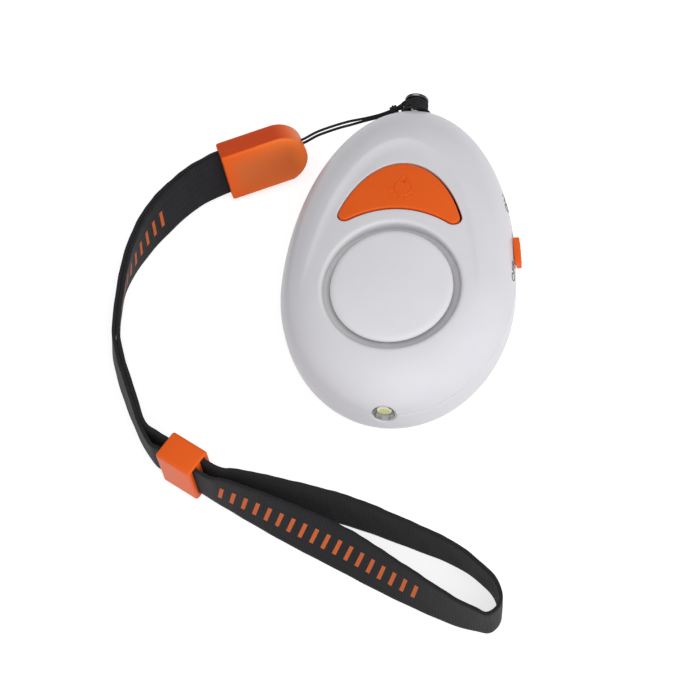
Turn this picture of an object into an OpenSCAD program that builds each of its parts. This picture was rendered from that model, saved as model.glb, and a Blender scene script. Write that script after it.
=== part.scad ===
// Egg-shaped personal safety alarm with torch, light button, pull pin and wrist strap.
// The case lies on its back: z = 0 is the flat rest face, +Z leaves the front, +Y points to the pin.

/* [Case] */
// Width of the case at its widest line
case_w = 47; // [42:0.5:56]
// Length from the widest line to the narrow end
nose_len = 41.8; // [38:0.2:50]
// Length from the widest line to the lamp end
tail_len = 28.6; // [27:0.2:36]
// Thickness from the rest face to the front
case_t = 23.7; // [23:0.1:27]
// Wall thickness of both shells
wall_t = 1.6; // [1.3:0.1:2]
// Height of the seam between the shells
seam_z = 13.4; // [12.8:0.1:14]
// Rounding of the front edge
side_r = 10; // [9:0.1:10.4]
// Rounding of the rear edge
base_r = 10; // [8:0.1:11]
// Straight band between the two roundings
band_h = 2; // [1:0.1:2.6]

/* [Sounder] */
// Diameter of the sounder cover
cover_d = 24.4; // [20:0.2:26]
// Width of the open ring groove round the cover
groove_w = 1.6; // [1:0.1:2]
// Diameter of the brass sounder plate
plate_d = 22; // [18:0.5:24]

/* [Light button] */
// Half width of the oval that bounds the crescent
crescent_w = 14.15; // [12:0.05:15]
// Height of the crescent's top above the widest line
crescent_top = 24.1; // [22:0.1:26]
// Radius of the crescent's inner arc
crescent_in_r = 21; // [18.5:0.1:23]
// Radius of the crescent's tips
tip_r = 1.45; // [1.2:0.05:1.6]
// Gap between the button and the shell
button_gap = 0.3; // [0.2:0.05:0.5]
// Travel of the light button
button_travel = 0.5; // [0.3:0.05:0.6]

/* [Slide switch] */
// Length of the knob along the case
knob_l = 6; // [5:0.2:8]
// Height of the knob
knob_h = 2.6; // [2.2:0.1:4]
// Thickness of the knob outside the shell
knob_t = 1; // [0.8:0.1:1.8]
// Travel of the knob from OFF to ON
knob_travel = 3; // [2:0.1:3.4]

/* [Torch] */
// Diameter of the lamp opening
lamp_d = 5.4; // [4.6:0.1:6]
// Diameter of the lamp itself
led_d = 2.7; // [2:0.1:3]

/* [Pull pin] */
// Diameter of the pin in its socket
pin_d = 2.5; // [2:0.1:2.8]
// Diameter of the neck that the cord is hitched to
neck_d = 3.8; // [2.6:0.1:4]
// Diameter of the pin's head
head_d = 4.9; // [4.2:0.1:5.6]
// Free length of the neck between socket and head
neck_l = 2.4; // [2.2:0.1:3]
// Length of the pin inside the case
pin_l = 12; // [10:0.5:14]

/* [Cord and strap] */
// Diameter of the pull cord
cord_d = 0.55; // [0.4:0.05:0.6]
// Width of the webbing
strap_w = 10; // [8:0.5:10.2]
// Thickness of the webbing
strap_t = 0.8; // [0.6:0.05:1]
// Length of the clasp
clasp_l = 17.5; // [15:0.5:22]
// Height of the clasp
clasp_h = 11.2; // [11:0.1:13]
// Thickness of the clasp
clasp_t = 6; // [5:0.1:7]
// Length of the slider along the strap
slider_l = 8.4; // [6:0.2:10]
// Thickness of the slider across the strap
slider_t = 6.2; // [5.4:0.1:8]

/* [Hidden] */
$fn = 96;

white = [0.86, 0.86, 0.88];
satin = [0.82, 0.82, 0.85];
orange = [0.88, 0.33, 0.08];
black = [0.1, 0.1, 0.11];
bright = [0.75, 0.75, 0.77];
brass = [0.78, 0.62, 0.3];
green = [0.1, 0.35, 0.2];
steel = [0.6, 0.6, 0.62];
cream = [0.9, 0.88, 0.6];
copper = [0.6, 0.35, 0.2];

big = 200;
half_w = case_w / 2;
// Heights of the case follow its thickness
deep_k = case_t / 23.7;
edge_r = side_r * deep_k;
back_r = base_r * deep_k;
band_t = band_h * deep_k;
split_z = seam_z * deep_k;
wide_z = back_r + band_t;
front_h = case_t - wide_z;
// Radius of the front dome that runs tangent into the front rounding
dome_r = (half_w * half_w - 2 * half_w * edge_r + front_h * front_h) / (2 * (front_h - edge_r));
dome_z = case_t - dome_r;
// Scale of the board and boss places along each end of the case
nose_k = nose_len / 41.8;
tail_k = tail_len / 28.6;
wide_k = case_w / 47;

// Sounder: the cover lies in a cup with a flat floor
sounder_y = -4.1 * tail_k;
cup_r = cover_d / 2 + groove_w;
cup_wall = 1.4;
cup_depth = 3.3;
cup_floor = case_t - cup_depth;
cup_t = 1.2;
cover_lift = 0.7;
cover_sink = 0.6;
seat_h = 1.2;
seat_w = 2.5;
plate_t = 0.3;
plate_z = cup_floor - cup_t - seat_h - plate_t;
ceramic_d = plate_d - 6;
ceramic_t = 0.3;

// Light button: an oval outside, an arc inside, two round tips
oval_h = crescent_top;
tip_p = 30.9;
tip_m = norm([cos(tip_p) / crescent_w, sin(tip_p) / oval_h]);
tip_nx = cos(tip_p) / crescent_w / tip_m;
tip_ny = sin(tip_p) / oval_h / tip_m;
tip_x = crescent_w * cos(tip_p) - tip_r * tip_nx;
tip_y = oval_h * sin(tip_p) - tip_r * tip_ny;
// Centre of the inner arc, set so that the arc runs into the tips
in_y = tip_y - sqrt(pow(crescent_in_r + tip_r, 2) - tip_x * tip_x);
button_y = (in_y + crescent_in_r + crescent_top) / 2 - 0.9;
button_proud = 0.15;
button_floor = case_t - 4.4;
flange_w = 0.9;
stem_r = 1.5;

// Board height, a little under the seam
board_t = 1;
board_drop = 0.6;
board_z = split_z - board_drop;
board_top = board_z + board_t;

// Cells: two stacks of two in a walled well, filling the height from the battery cover to the board
cell_r = 5.8;
cell_gap = 0.4;
well_l = 4 * cell_r + 3 * cell_gap;
well_w = 2 * cell_r + 2 * cell_gap;
well_t = 1;
hatch_t = 1.4;
hatch_in = 0.1;
hatch_gap = 0.15;
link_t = 0.2;
contact_t = 0.3;
cell_z = hatch_in + hatch_t + link_t;
cell_top = board_z - contact_t;
cell_h = (cell_top - cell_z) / 2;
contact_r = 4;
link_w = 6;
ear_r = 3;
ear_y = well_w / 2 + 2.4;
hatch_screw_r = 0.9;
hatch_head_r = 1.7;

// Board, standing on posts with the cell contacts under it
board_nose = 27 * nose_k;
board_tail = -19.5 * tail_k;
post_r = 2.2;
board_posts = [[-9 * wide_k, -15.5 * tail_k], [9 * wide_k, -15.5 * tail_k]];
rest_posts = [[-8 * wide_k, 23.5 * nose_k], [8 * wide_k, 23.5 * nose_k]];
screw_r = 0.8;
switch_w = 6;
plunger_r = 1.7;
plunger_in = 1.4;
plunger_out = 1.1;
plunger_top = button_floor - 1;
switch_h = plunger_top - plunger_out - board_top;
coil_room = 1;
coil_h = button_floor - button_travel - board_top - coil_room;
coil_rim = 0.6;

// Screws that hold the shells together
case_spots = [[-14.5 * wide_k, 21 * nose_k], [14.5 * wide_k, 21 * nose_k],
    [-16.4 * wide_k, -11.8 * tail_k], [16.4 * wide_k, -11.8 * tail_k]];
boss_r = 2.4;
case_screw_r = 1;
case_head_r = 1.8;
case_head_z = 5;

// Slide switch, square to the outline of the case
knob_y = 10.5 * nose_k;
knob_x = half_w * sqrt(1 - pow(knob_y / nose_len, 2));
knob_turn = atan2(knob_y / pow(nose_len, 2), knob_x / pow(half_w, 2));
stem_l = 2.4;
rib_proud = 0.12;
stem_h = 1.4;
slot_l = knob_travel + stem_l + 0.5;
slot_h = stem_h + 0.5;
switch_out = wall_t + 1.5;
switch_in = switch_out + 4.4;
switch_l = 9.6;
switch_t = 4.4;

// Torch, looking out of the blunt end along the seam
lamp_z = split_z;
lamp_fit = 0.08;
flange_r = lamp_d / 2 + 0.5;
reflector_l = 5;
flange_back = wall_t + 2;
led_back = 0.9;
end_y = -tail_len;

// Pull pin along +Y at seam height
pin_z = split_z;
seat_y = nose_len - 0.5;
collar_r = head_d / 2;
collar_t = 0.4;
neck_r = neck_d / 2;
neck_gap = 0.05;
head_t = 1.1;
neck_y = seat_y + collar_t + neck_l / 2;
socket_r = pin_d / 2 + 0.9;
socket_l = 7;
pin_fit = 0.05;
leaf_t = 0.3;
leaf_gap = 0.25;

// Clasp: its lower near corner is measured from the neck of the pin
clasp_lean = 20;
clasp_turn = 24;
clasp_at = [-37.8, neck_y - 16.9, clasp_t * sin(clasp_lean)];
clasp_u = [cos(clasp_turn), sin(clasp_turn), 0];
clasp_n = [-sin(clasp_turn), cos(clasp_turn), 0];
clasp_w = [0, 0, cos(clasp_lean)] + clasp_n * sin(clasp_lean);
clasp_b = clasp_n * cos(clasp_lean) - [0, 0, sin(clasp_lean)];
twin_off = strap_t / 2 + 0.05;
mouth_l = clasp_l - 8.5;
cord_in = 3;
cord_lift = 1;
// The round end is a little fuller than a half circle, so it meets the lower edge in a corner
end_r = clasp_h / 2 + 0.6;

// Slider: its centre is measured from the neck of the pin
slider_at = [-39.5, neck_y - 80.4];
slider_turn = -30;
slider_u = [cos(slider_turn), sin(slider_turn)];
slider_v = [-sin(slider_turn), cos(slider_turn)];
slider_wall = 0.8;
slider_h = strap_w + 2 * slider_wall;
slot_off = 1.3;
slot_t = strap_t + 0.5;

// Lie of the strap: x, y from the neck of the pin, height of the lower edge, lean to the left of travel
twin_from = clasp_at + clasp_b * clasp_t / 2 + clasp_w * (clasp_h - strap_w) / 2;
twin_path = concat(
    [for (l = [mouth_l, mouth_l / 2, -1.5])
        [twin_from[0] + clasp_u[0] * l, twin_from[1] + clasp_u[1] * l - neck_y, twin_from[2], -clasp_lean]],
    [[-46.5, -18, 0.9, -15], [-52, -24, 0.5, -11], [-56, -30.5, 0.3, -1], [-58.5, -38, 0.2, 9],
        [-59, -46, 0.2, 11], [-58.5, -53.5, 0.2, 9], [-56.5, -60, 0.3, 8], [-53.5, -67, 0.5, 7],
        [-49.4, -74.2, 0.7, 3]]);
front_path = [[-31, -87, 0.7, 9], [-19.5, -93.5, 0.4, 26], [-8, -99, 0.3, 33], [3, -104, 0.2, 20],
    [14.5, -108.5, 0.2, 5], [20.5, -110, 0.2, 1]];
fold_path = [[23, -110, 0.2, 0], [24.5, -107.5, 0.2, 0], [23.5, -103.5, 0.2, 4]];
back_path = [[20.5, -100, 0.2, 5], [15, -96.5, 0.2, 4], [5.5, -93, 0.2, 0], [-7, -89, 0.2, -8],
    [-22.5, -86, 0.5, -8], [-29.5, -84.5, 0.7, -5]];

function unit2(v) = v / norm(v);
function unit3(v) = v / norm(v);
function left_of(path, i) =
    let (a = path[max(0, i - 1)], b = path[min(len(path) - 1, i + 1)], d = unit2([b[0] - a[0], b[1] - a[1]]))
    [-d[1], d[0]];
function beside(path, o) = [for (i = [0:len(path) - 1])
    let (n = left_of(path, i)) [path[i][0] + n[0] * o, path[i][1] + n[1] * o, path[i][2], path[i][3]]];
function turned(path) = [for (i = [len(path) - 1:-1:0]) [path[i][0], path[i][1], path[i][2], -path[i][3]]];
function through(o, steps) = [for (l = steps)
    [slider_at[0] + slider_u[0] * l + slider_v[0] * o, slider_at[1] - neck_y + slider_u[1] * l + slider_v[1] * o,
        slider_wall, 0]];
strap_path = concat(
    beside(twin_path, -twin_off), through(-slot_off, [-7, -4.6, 1, 7.6]), front_path, fold_path, back_path,
    through(slot_off, [7.6, 1, -4.6, -7]), turned(beside(twin_path, twin_off)));

// Smooth curve through route points
function bend(p, i, t) =
    let (n = len(p) - 1, a = p[max(0, i - 1)], b = p[i], c = p[min(n, i + 1)], d = p[min(n, i + 2)])
    0.5 * (2 * b + (c - a) * t + (2 * a - 5 * b + 4 * c - d) * t * t + (3 * b - a - 3 * c + d) * t * t * t);
function smooth(p, k) = concat(
    [for (i = [0:len(p) - 2]) for (j = [0:k - 1]) bend(p, i, j / k)], [p[len(p) - 1]]);

// Route of the cord: two strands from the clasp, hitched round the neck of the pin
strand_off = cord_d / 2 + 0.2;
strand_near = cord_d / 2 + 0.03;
wrap_r = neck_r + cord_d / 2 + 0.05;
wrap_turn = 540;
wrap_half = 0.75;
// Points of the free stretch, from the neck of the pin
free_path = [[-21, -4, -5.1], [-18.5, -3.4, -4.2], [-16, -2.9, -3.4], [-13.6, -2.6, -2.6]];
near_path = [[-10.3, -2.1, -1.8], [-7.3, -1.5, -1.2], [-4.5, -0.5, -0.6], [-3.2, 0.2, -0.2]];
neck_at = [0, neck_y, pin_z];
knot_at = neck_at + near_path[2];
knot_r = 1.1;
knot_l = 1.8;
function clasp_point(l, t, h) = clasp_at + clasp_u * l + clasp_b * t + clasp_w * h;
function strand(s) = concat(
    [for (l = [-cord_in, -cord_in / 2, 0.3])
        clasp_point(clasp_l + l, clasp_t / 2, clasp_h / 2 + cord_lift + s * strand_off)],
    [for (p = free_path) neck_at + p + clasp_w * s * strand_off],
    [for (p = near_path) neck_at + p + clasp_w * s * strand_near],
    [neck_at + [-wrap_r, 0.1 + 0.45 * s, wrap_r * s / 2]]);
wrap = [for (a = [0:30:wrap_turn])
    neck_at + [wrap_r * cos(a - 90), wrap_half * (2 * a / wrap_turn - 1), wrap_r * sin(a - 90)]];
up_strand = strand(1);
cord_path = concat(
    smooth(strand(-1), 2), wrap, smooth([for (i = [len(up_strand) - 1:-1:0]) up_strand[i]], 2));
// Least gap between one turn of the hitch and the next, measured on the points
turn_steps = 12;
echo(hitch_gap = min([for (i = [0:len(wrap) - turn_steps - 1])
    for (j = [i + turn_steps:len(wrap) - 1]) norm(wrap[i] - wrap[j])]) - cord_d);

// Half outline of the case in x and z, moved in by g
module outline(g) {
    reach = norm([half_w - edge_r, wide_z - dome_z]);
    meet_x = (half_w - edge_r) * (dome_r - g) / reach;
    intersection() {
        translate([0, dome_z]) circle(r = dome_r - g, $fn = 400);
        translate([0, wide_z]) square([meet_x, front_h + 5]);
    }
    intersection() {
        translate([half_w - edge_r, wide_z]) circle(r = edge_r - g);
        translate([meet_x, wide_z]) square([edge_r + 5, edge_r + 5]);
    }
    translate([0, back_r]) square([half_w - g, band_t]);
    translate([0, g]) square([half_w - back_r, back_r - g]);
    intersection() {
        translate([half_w - back_r, back_r]) circle(r = back_r - g);
        translate([half_w - back_r, g]) square([back_r + 5, back_r - g]);
    }
}

// Solid egg, moved in by g: two half turns, each drawn out to its own length
module egg(g) {
    scale([1, (nose_len - g) / (half_w - g), 1])
        rotate_extrude(angle = 180) outline(g);
    scale([1, (tail_len - g) / (half_w - g), 1])
        rotate([0, 0, 180]) rotate_extrude(angle = 180) outline(g);
}

module above(z) {
    translate([-big / 2, -big / 2, z]) cube([big, big, big]);
}

module below(z) {
    translate([-big / 2, -big / 2, z - big]) cube([big, big, big]);
}

// Round bar along +Y from y0 to y1
module bar(r, y0, y1, z) {
    translate([0, y0, z]) rotate([-90, 0, 0]) cylinder(r = r, h = y1 - y0);
}

// Flat crescent, grown by m
module crescent(m) {
    ox = tip_x + (tip_r + m) * tip_nx;
    oy = tip_y + (tip_r + m) * tip_ny;
    reach = crescent_in_r + tip_r;
    ix = tip_x * (crescent_in_r - m) / reach;
    iy = in_y + (tip_y - in_y) * (crescent_in_r - m) / reach;
    intersection() {
        difference() {
            scale([crescent_w + m, oval_h + m]) circle(r = 1);
            translate([0, in_y]) circle(r = crescent_in_r - m);
        }
        polygon([[-40, 60], [-40, oy], [-ox, oy], [-ix, iy], [ix, iy], [ox, oy], [40, oy], [40, 60]]);
    }
    for (s = [-1, 1]) {
        translate([s * tip_x, tip_y]) circle(r = tip_r + m);
    }
}

// Places its children square to the outline at the slide switch
module at_switch(y = 0) {
    translate([knob_x, knob_y, split_z]) rotate([0, 0, knob_turn]) translate([0, y, 0]) children();
}

module at_sounder(z) {
    translate([0, sounder_y, z]) children();
}

module lamp_bore() {
    bar(lamp_d / 2, end_y - 5, end_y + 8, lamp_z);
}

module pin_bore() {
    bar(socket_r + 0.05, nose_len - 10, nose_len + 5, pin_z);
    bar(collar_r + 0.2, seat_y, nose_len + 5, pin_z);
}

module switch_slot() {
    at_switch() translate([-4, -slot_l / 2, -slot_h / 2]) cube([8, slot_l, slot_h]);
}

module front_shell() {
    color(white)
    difference() {
        union() {
            intersection() {
                difference() {
                    egg(0);
                    egg(wall_t);
                }
                above(split_z);
            }
            intersection() {
                egg(0.4);
                union() {
                    at_sounder(cup_floor - cup_t) cylinder(r = cup_r + cup_wall, h = 12);
                    for (p = case_spots) {
                        translate([p[0], p[1], split_z]) cylinder(r = boss_r, h = 12);
                    }
                }
            }
        }
        at_sounder(cup_floor) cylinder(r = cup_r, h = 12);
        at_sounder(cup_floor - 5) cylinder(r = plate_d / 2 - seat_w - 0.5, h = 12);
        linear_extrude(height = 60) crescent(button_gap);
        for (p = case_spots) {
            translate([p[0], p[1], split_z - 1]) cylinder(r = case_screw_r, h = 6);
        }
        lamp_bore();
        pin_bore();
        switch_slot();
    }
}

module rear_shell() {
    color(white)
    difference() {
        union() {
            intersection() {
                difference() {
                    egg(0);
                    egg(wall_t);
                }
                below(split_z);
            }
            intersection() {
                egg(0.4);
                union() {
                    for (p = case_spots) {
                        translate([p[0], p[1], 0]) cylinder(r = boss_r + 0.8, h = split_z);
                    }
                    for (p = concat(board_posts, rest_posts)) {
                        translate([p[0], p[1], 0]) cylinder(r = post_r, h = board_z);
                    }
                    translate([-well_l / 2 - well_t, -well_w / 2 - well_t, 0])
                        cube([well_l + 2 * well_t, well_w + 2 * well_t, cell_z + 1.6 * cell_h]);
                    translate([0, ear_y, 0]) cylinder(r = ear_r + 0.8, h = 8);
                    at_switch() translate([-switch_in, -switch_l / 2 + 1, -split_z])
                        cube([switch_in, switch_l - 2, split_z - switch_t / 2]);
                }
            }
        }
        translate([-well_l / 2, -well_w / 2, hatch_t + hatch_in]) cube([well_l, well_w, 20]);
        linear_extrude(height = hatch_t + hatch_in) hatch(hatch_gap);
        translate([0, ear_y, 0]) cylinder(r = hatch_screw_r, h = 7);
        for (p = case_spots) {
            translate([p[0], p[1], -1]) cylinder(r = case_screw_r + 0.2, h = 20);
            translate([p[0], p[1], -1]) cylinder(r = case_head_r + 0.3, h = case_head_z + 1);
        }
        for (p = board_posts) {
            translate([p[0], p[1], board_z - 5]) cylinder(r = screw_r, h = 6);
        }
        lamp_bore();
        pin_bore();
        switch_slot();
    }
}

// Flat outline of the battery cover, grown by m
module hatch(m) {
    translate([-well_l / 2 - m, -well_w / 2 - m]) square([well_l + 2 * m, well_w + 2 * m]);
    translate([0, ear_y]) circle(r = ear_r + m);
}

module battery_cover() {
    color(white)
    translate([0, 0, hatch_in])
    difference() {
        linear_extrude(height = hatch_t) hatch(0);
        translate([0, ear_y, -1]) cylinder(r = hatch_screw_r + 0.2, h = 5);
        translate([0, ear_y, -1]) cylinder(r = hatch_head_r + 0.2, h = 1.7);
        translate([-3.5, -well_w / 2 + 1.4, -1]) cube([7, 0.6, 1.4]);
        translate([-3.5, -well_w / 2 + 2.8, -1]) cube([7, 0.6, 1.4]);
    }
}

module battery_cover_screw() {
    color(steel)
    difference() {
        union() {
            translate([0, ear_y, hatch_in + 0.1]) cylinder(r = hatch_head_r, h = 0.6);
            translate([0, ear_y, hatch_in + 0.7]) cylinder(r = hatch_screw_r, h = 5.6);
        }
        translate([-1.2, ear_y - 0.2, 0]) cube([2.4, 0.4, 0.45]);
        translate([-0.2, ear_y - 1.2, 0]) cube([0.4, 2.4, 0.45]);
    }
}

module case_screws() {
    color(steel)
    for (p = case_spots) {
        difference() {
            union() {
                translate([p[0], p[1], case_head_z - 1.4]) cylinder(r = case_head_r, h = 1.4);
                translate([p[0], p[1], case_head_z]) cylinder(r = case_screw_r, h = split_z - case_head_z + 4);
            }
            translate([p[0] - 1.2, p[1] - 0.2, case_head_z - 2]) cube([2.4, 0.4, 1.2]);
            translate([p[0] - 0.2, p[1] - 1.2, case_head_z - 2]) cube([0.4, 2.4, 1.2]);
        }
    }
}

module sounder_cover() {
    color(satin) {
        intersection() {
            egg(cover_sink);
            at_sounder(cup_floor + cover_lift) cylinder(r = cover_d / 2, h = 8);
        }
        for (a = [30, 150, 270]) {
            at_sounder(cup_floor) rotate([0, 0, a]) translate([cover_d / 2 - 1.2, 0, 0])
                cylinder(r = 0.8, h = cover_lift + 0.2);
        }
    }
}

module sounder_seat() {
    color(black)
    at_sounder(plate_z + plate_t)
    difference() {
        cylinder(r = plate_d / 2, h = seat_h);
        translate([0, 0, -1]) cylinder(r = plate_d / 2 - seat_w, h = seat_h + 2);
    }
}

module sounder_plate() {
    color(brass) at_sounder(plate_z) cylinder(r = plate_d / 2, h = plate_t);
}

module sounder_ceramic() {
    color(cream) at_sounder(plate_z - ceramic_t) cylinder(r = ceramic_d / 2, h = ceramic_t);
}

module sounder_contacts() {
    color(brass) {
        at_sounder(board_top) translate([ceramic_d / 2 + 1.4, 0, 0]) cylinder(r = 0.5, h = plate_z - board_top);
        at_sounder(board_top) translate([-ceramic_d / 4, 0, 0])
            cylinder(r = 0.5, h = plate_z - ceramic_t - board_top);
    }
}

module circuit_board() {
    color(green)
    difference() {
        intersection() {
            egg(wall_t + 1.2);
            translate([-half_w, board_tail, board_z]) cube([case_w, board_nose - board_tail, board_t]);
        }
        for (p = case_spots) {
            translate([p[0], p[1], 0]) cylinder(r = boss_r + 1.4, h = 40);
        }
        for (p = board_posts) {
            translate([p[0], p[1], 0]) cylinder(r = screw_r + 0.1, h = 40);
        }
        at_switch() translate([-switch_in - 0.4, -switch_l / 2 - 0.4, -5]) cube([20, switch_l + 0.8, 10]);
    }
}

module board_screws() {
    color(steel)
    for (p = board_posts) {
        difference() {
            union() {
                translate([p[0], p[1], board_top]) cylinder(r = 1.6, h = 1.1);
                translate([p[0], p[1], board_top - 5]) cylinder(r = screw_r, h = 5);
            }
            translate([p[0] - 1, p[1] - 0.2, board_top + 0.6]) cube([2, 0.4, 1]);
            translate([p[0] - 0.2, p[1] - 1, board_top + 0.6]) cube([0.4, 2, 1]);
        }
    }
}

module light_switch() {
    color(black)
    difference() {
        translate([-switch_w / 2, button_y - switch_w / 2, board_top])
            cube([switch_w, switch_w, switch_h]);
        translate([0, button_y, board_top + switch_h - plunger_in - button_travel - 0.3])
            cylinder(r = plunger_r + 0.08, h = 10);
    }
}

module light_plunger() {
    color(cream)
    translate([0, button_y, board_top + switch_h - plunger_in])
        cylinder(r = plunger_r, h = plunger_top - board_top - switch_h + plunger_in);
}

// Bulb sign, drawn flat: its cap points to the pin and its rays to the sounder
module bulb_sign() {
    translate([0, button_y + 0.35]) {
        difference() {
            circle(r = 1.75);
            circle(r = 1.5);
            translate([-0.9, 1]) square([1.8, 1]);
        }
        for (s = [-1, 1]) {
            translate([s * 0.85 - 0.13, 1.3]) square([0.26, 1.2]);
        }
        translate([-0.9, 2.3]) square([1.8, 0.25]);
        for (a = [180, 225, 270, 315, 360]) {
            rotate([0, 0, a]) translate([2.15, -0.13]) square([0.7, 0.26]);
        }
    }
}

module light_button() {
    color(orange) {
        intersection() {
            egg(-button_proud);
            translate([0, 0, button_floor]) linear_extrude(height = 20) crescent(0);
        }
        intersection() {
            egg(wall_t + 0.3);
            translate([0, 0, button_floor]) linear_extrude(height = 20) crescent(flange_w);
        }
        intersection() {
            egg(-button_proud - 0.22);
            translate([0, 0, button_floor + 1]) linear_extrude(height = 20) bulb_sign();
        }
        translate([0, button_y, plunger_top]) cylinder(r = stem_r, h = button_floor - plunger_top + 0.5);
    }
}

module slide_switch() {
    color(steel)
    at_switch()
    difference() {
        translate([-switch_in, -switch_l / 2, -switch_t / 2])
            cube([switch_in - switch_out, switch_l, switch_t]);
        translate([-switch_out - 2.2, -slot_l / 2, -slot_h / 2]) cube([5, slot_l, slot_h]);
    }
}

module slide_knob() {
    color(orange)
    at_switch(-knob_travel / 2) {
        translate([0.2, -knob_l / 2, -knob_h / 2]) cube([knob_t, knob_l, knob_h]);
        translate([-switch_out - 1.8, -stem_l / 2, -stem_h / 2]) cube([switch_out + 2.2, stem_l, stem_h]);
        for (y = [-1.8:0.9:1.8]) {
            translate([knob_t, y - 0.2, -knob_h / 2 + 0.3]) cube([0.2 + rib_proud, 0.4, knob_h - 0.6]);
        }
    }
}

module torch_reflector() {
    color(bright)
    difference() {
        union() {
            intersection() {
                bar(lamp_d / 2 - lamp_fit, end_y - 1, end_y + reflector_l, lamp_z);
                egg(0.2);
            }
            bar(flange_r, end_y + flange_back, end_y + reflector_l, lamp_z);
        }
        translate([0, end_y, lamp_z]) rotate([-90, 0, 0])
            cylinder(r1 = lamp_d / 2 - 0.2, r2 = led_d / 2 + 0.15, h = 3);
        bar(led_d / 2 + 0.02, end_y, end_y + reflector_l + 1, lamp_z);
    }
}

module torch_lamp() {
    color(cream) bar(led_d / 2, end_y + led_back, end_y + reflector_l + 0.6, lamp_z);
}

module lamp_leads() {
    color(steel)
    for (x = [-0.7, 0.7]) {
        translate([x, 0, 0]) bar(0.25, end_y + reflector_l + 0.6, board_tail, board_z + board_t / 2);
    }
}

module button_cells() {
    color(steel)
    for (s = [-1, 1]) {
        for (k = [0, 1]) {
            translate([s * (cell_r + cell_gap / 2), 0, cell_z + k * cell_h]) {
                cylinder(r = cell_r, h = cell_h - 0.8);
                translate([0, 0, cell_h - 0.8]) cylinder(r = cell_r - 1.2, h = 0.8);
            }
        }
    }
}

module battery_contacts() {
    color(brass)
    for (s = [-1, 1]) {
        translate([s * (cell_r + cell_gap / 2), 0, cell_top]) cylinder(r = contact_r, h = contact_t);
    }
}

module battery_link() {
    color(brass) translate([-cell_r * 1.5, -link_w / 2, cell_z - link_t])
        cube([cell_r * 3, link_w, link_t]);
}

module control_chip() {
    color(black) translate([-11.5 * wide_k, 8, board_top]) cube([4, 5, 1.5]);
}

module boost_coil() {
    color(copper) translate([8.5, 21 * nose_k, board_top]) {
        cylinder(r = 2.6, h = coil_rim);
        cylinder(r = 2.1, h = coil_h - coil_rim);
        translate([0, 0, coil_h - coil_rim]) cylinder(r = 2.6, h = coil_rim);
    }
}

module pin_socket() {
    color(bright)
    difference() {
        union() {
            bar(collar_r, seat_y, seat_y + collar_t, pin_z);
            bar(socket_r, seat_y - socket_l, seat_y + 0.1, pin_z);
        }
        bar(pin_d / 2 + pin_fit, seat_y - socket_l - 1, seat_y + collar_t + 1, pin_z);
    }
}

module pin_contacts() {
    root_y = board_nose - 3;
    leaf_l = seat_y - socket_l - 1 - root_y;
    leaf_up = pin_z + pin_d / 2 + leaf_gap;
    leaf_low = pin_z - pin_d / 2 - leaf_gap - leaf_t;
    color(brass) translate([-1.2, root_y, 0]) {
        translate([0, 0, board_top]) cube([2.4, 0.5, leaf_up + leaf_t - board_top]);
        translate([0, 0, leaf_up]) cube([2.4, leaf_l, leaf_t]);
        translate([0, 0, leaf_low]) cube([2.4, 0.5, board_z - leaf_low]);
        translate([0, 0, leaf_low]) cube([2.4, leaf_l, leaf_t]);
    }
}

module pull_pin() {
    color(bright) {
        bar(pin_d / 2, seat_y - pin_l, seat_y + collar_t + 0.2, pin_z);
        bar(neck_r, seat_y + collar_t + neck_gap, seat_y + collar_t + neck_l + 0.2, pin_z);
        bar(head_d / 2, seat_y + collar_t + neck_l, seat_y + collar_t + neck_l + head_t, pin_z);
    }
}

// Tube along a route
module tube(p, r, sides) {
    n = len(p);
    rings = [for (i = [0:n - 1])
        let (d = unit3(p[min(n - 1, i + 1)] - p[max(0, i - 1)]), a = unit3(cross(d, [0, 1, 0])), b = cross(d, a))
        for (k = [0:sides - 1]) p[i] + r * (a * cos(360 * k / sides) + b * sin(360 * k / sides))];
    skin = [for (i = [0:n - 2]) for (k = [0:sides - 1])
        let (m = (k + 1) % sides) [i * sides + k, i * sides + m, (i + 1) * sides + m, (i + 1) * sides + k]];
    ends = [[for (k = [sides - 1:-1:0]) k], [for (k = [0:sides - 1]) (n - 1) * sides + k]];
    polyhedron(points = rings, faces = concat(skin, ends));
}

// Flat band along a route, standing on its lower edge
module band(p, w, t) {
    n = len(p);
    corners = [for (i = [0:n - 1])
        let (m = left_of(p, i), s = sin(p[i][3]), c = cos(p[i][3]),
            foot = [p[i][0], p[i][1] + neck_y, p[i][2]], up = [m[0] * s, m[1] * s, c],
            out = [m[0] * c, m[1] * c, -s] * t / 2)
        each [foot - out, foot + out, foot + up * w + out, foot + up * w - out]];
    skin = [for (i = [0:n - 2]) for (k = [0:3])
        let (m = (k + 1) % 4) [i * 4 + k, i * 4 + m, (i + 1) * 4 + m, (i + 1) * 4 + k]];
    ends = [[3, 2, 1, 0], [for (k = [0:3]) (n - 1) * 4 + k]];
    polyhedron(points = corners, faces = concat(skin, ends));
}

module pull_cord() {
    color(black) tube(cord_path, cord_d / 2, 8);
}

module cord_knot() {
    color(black) translate(knot_at) rotate([0, 78, 22])
        difference() {
            cylinder(r = knot_r, h = knot_l, center = true);
            for (s = [-1, 1]) {
                translate([-s * strand_near, 0, 0]) cylinder(r = cord_d / 2, h = 2 * knot_l, center = true);
            }
        }
}

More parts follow.
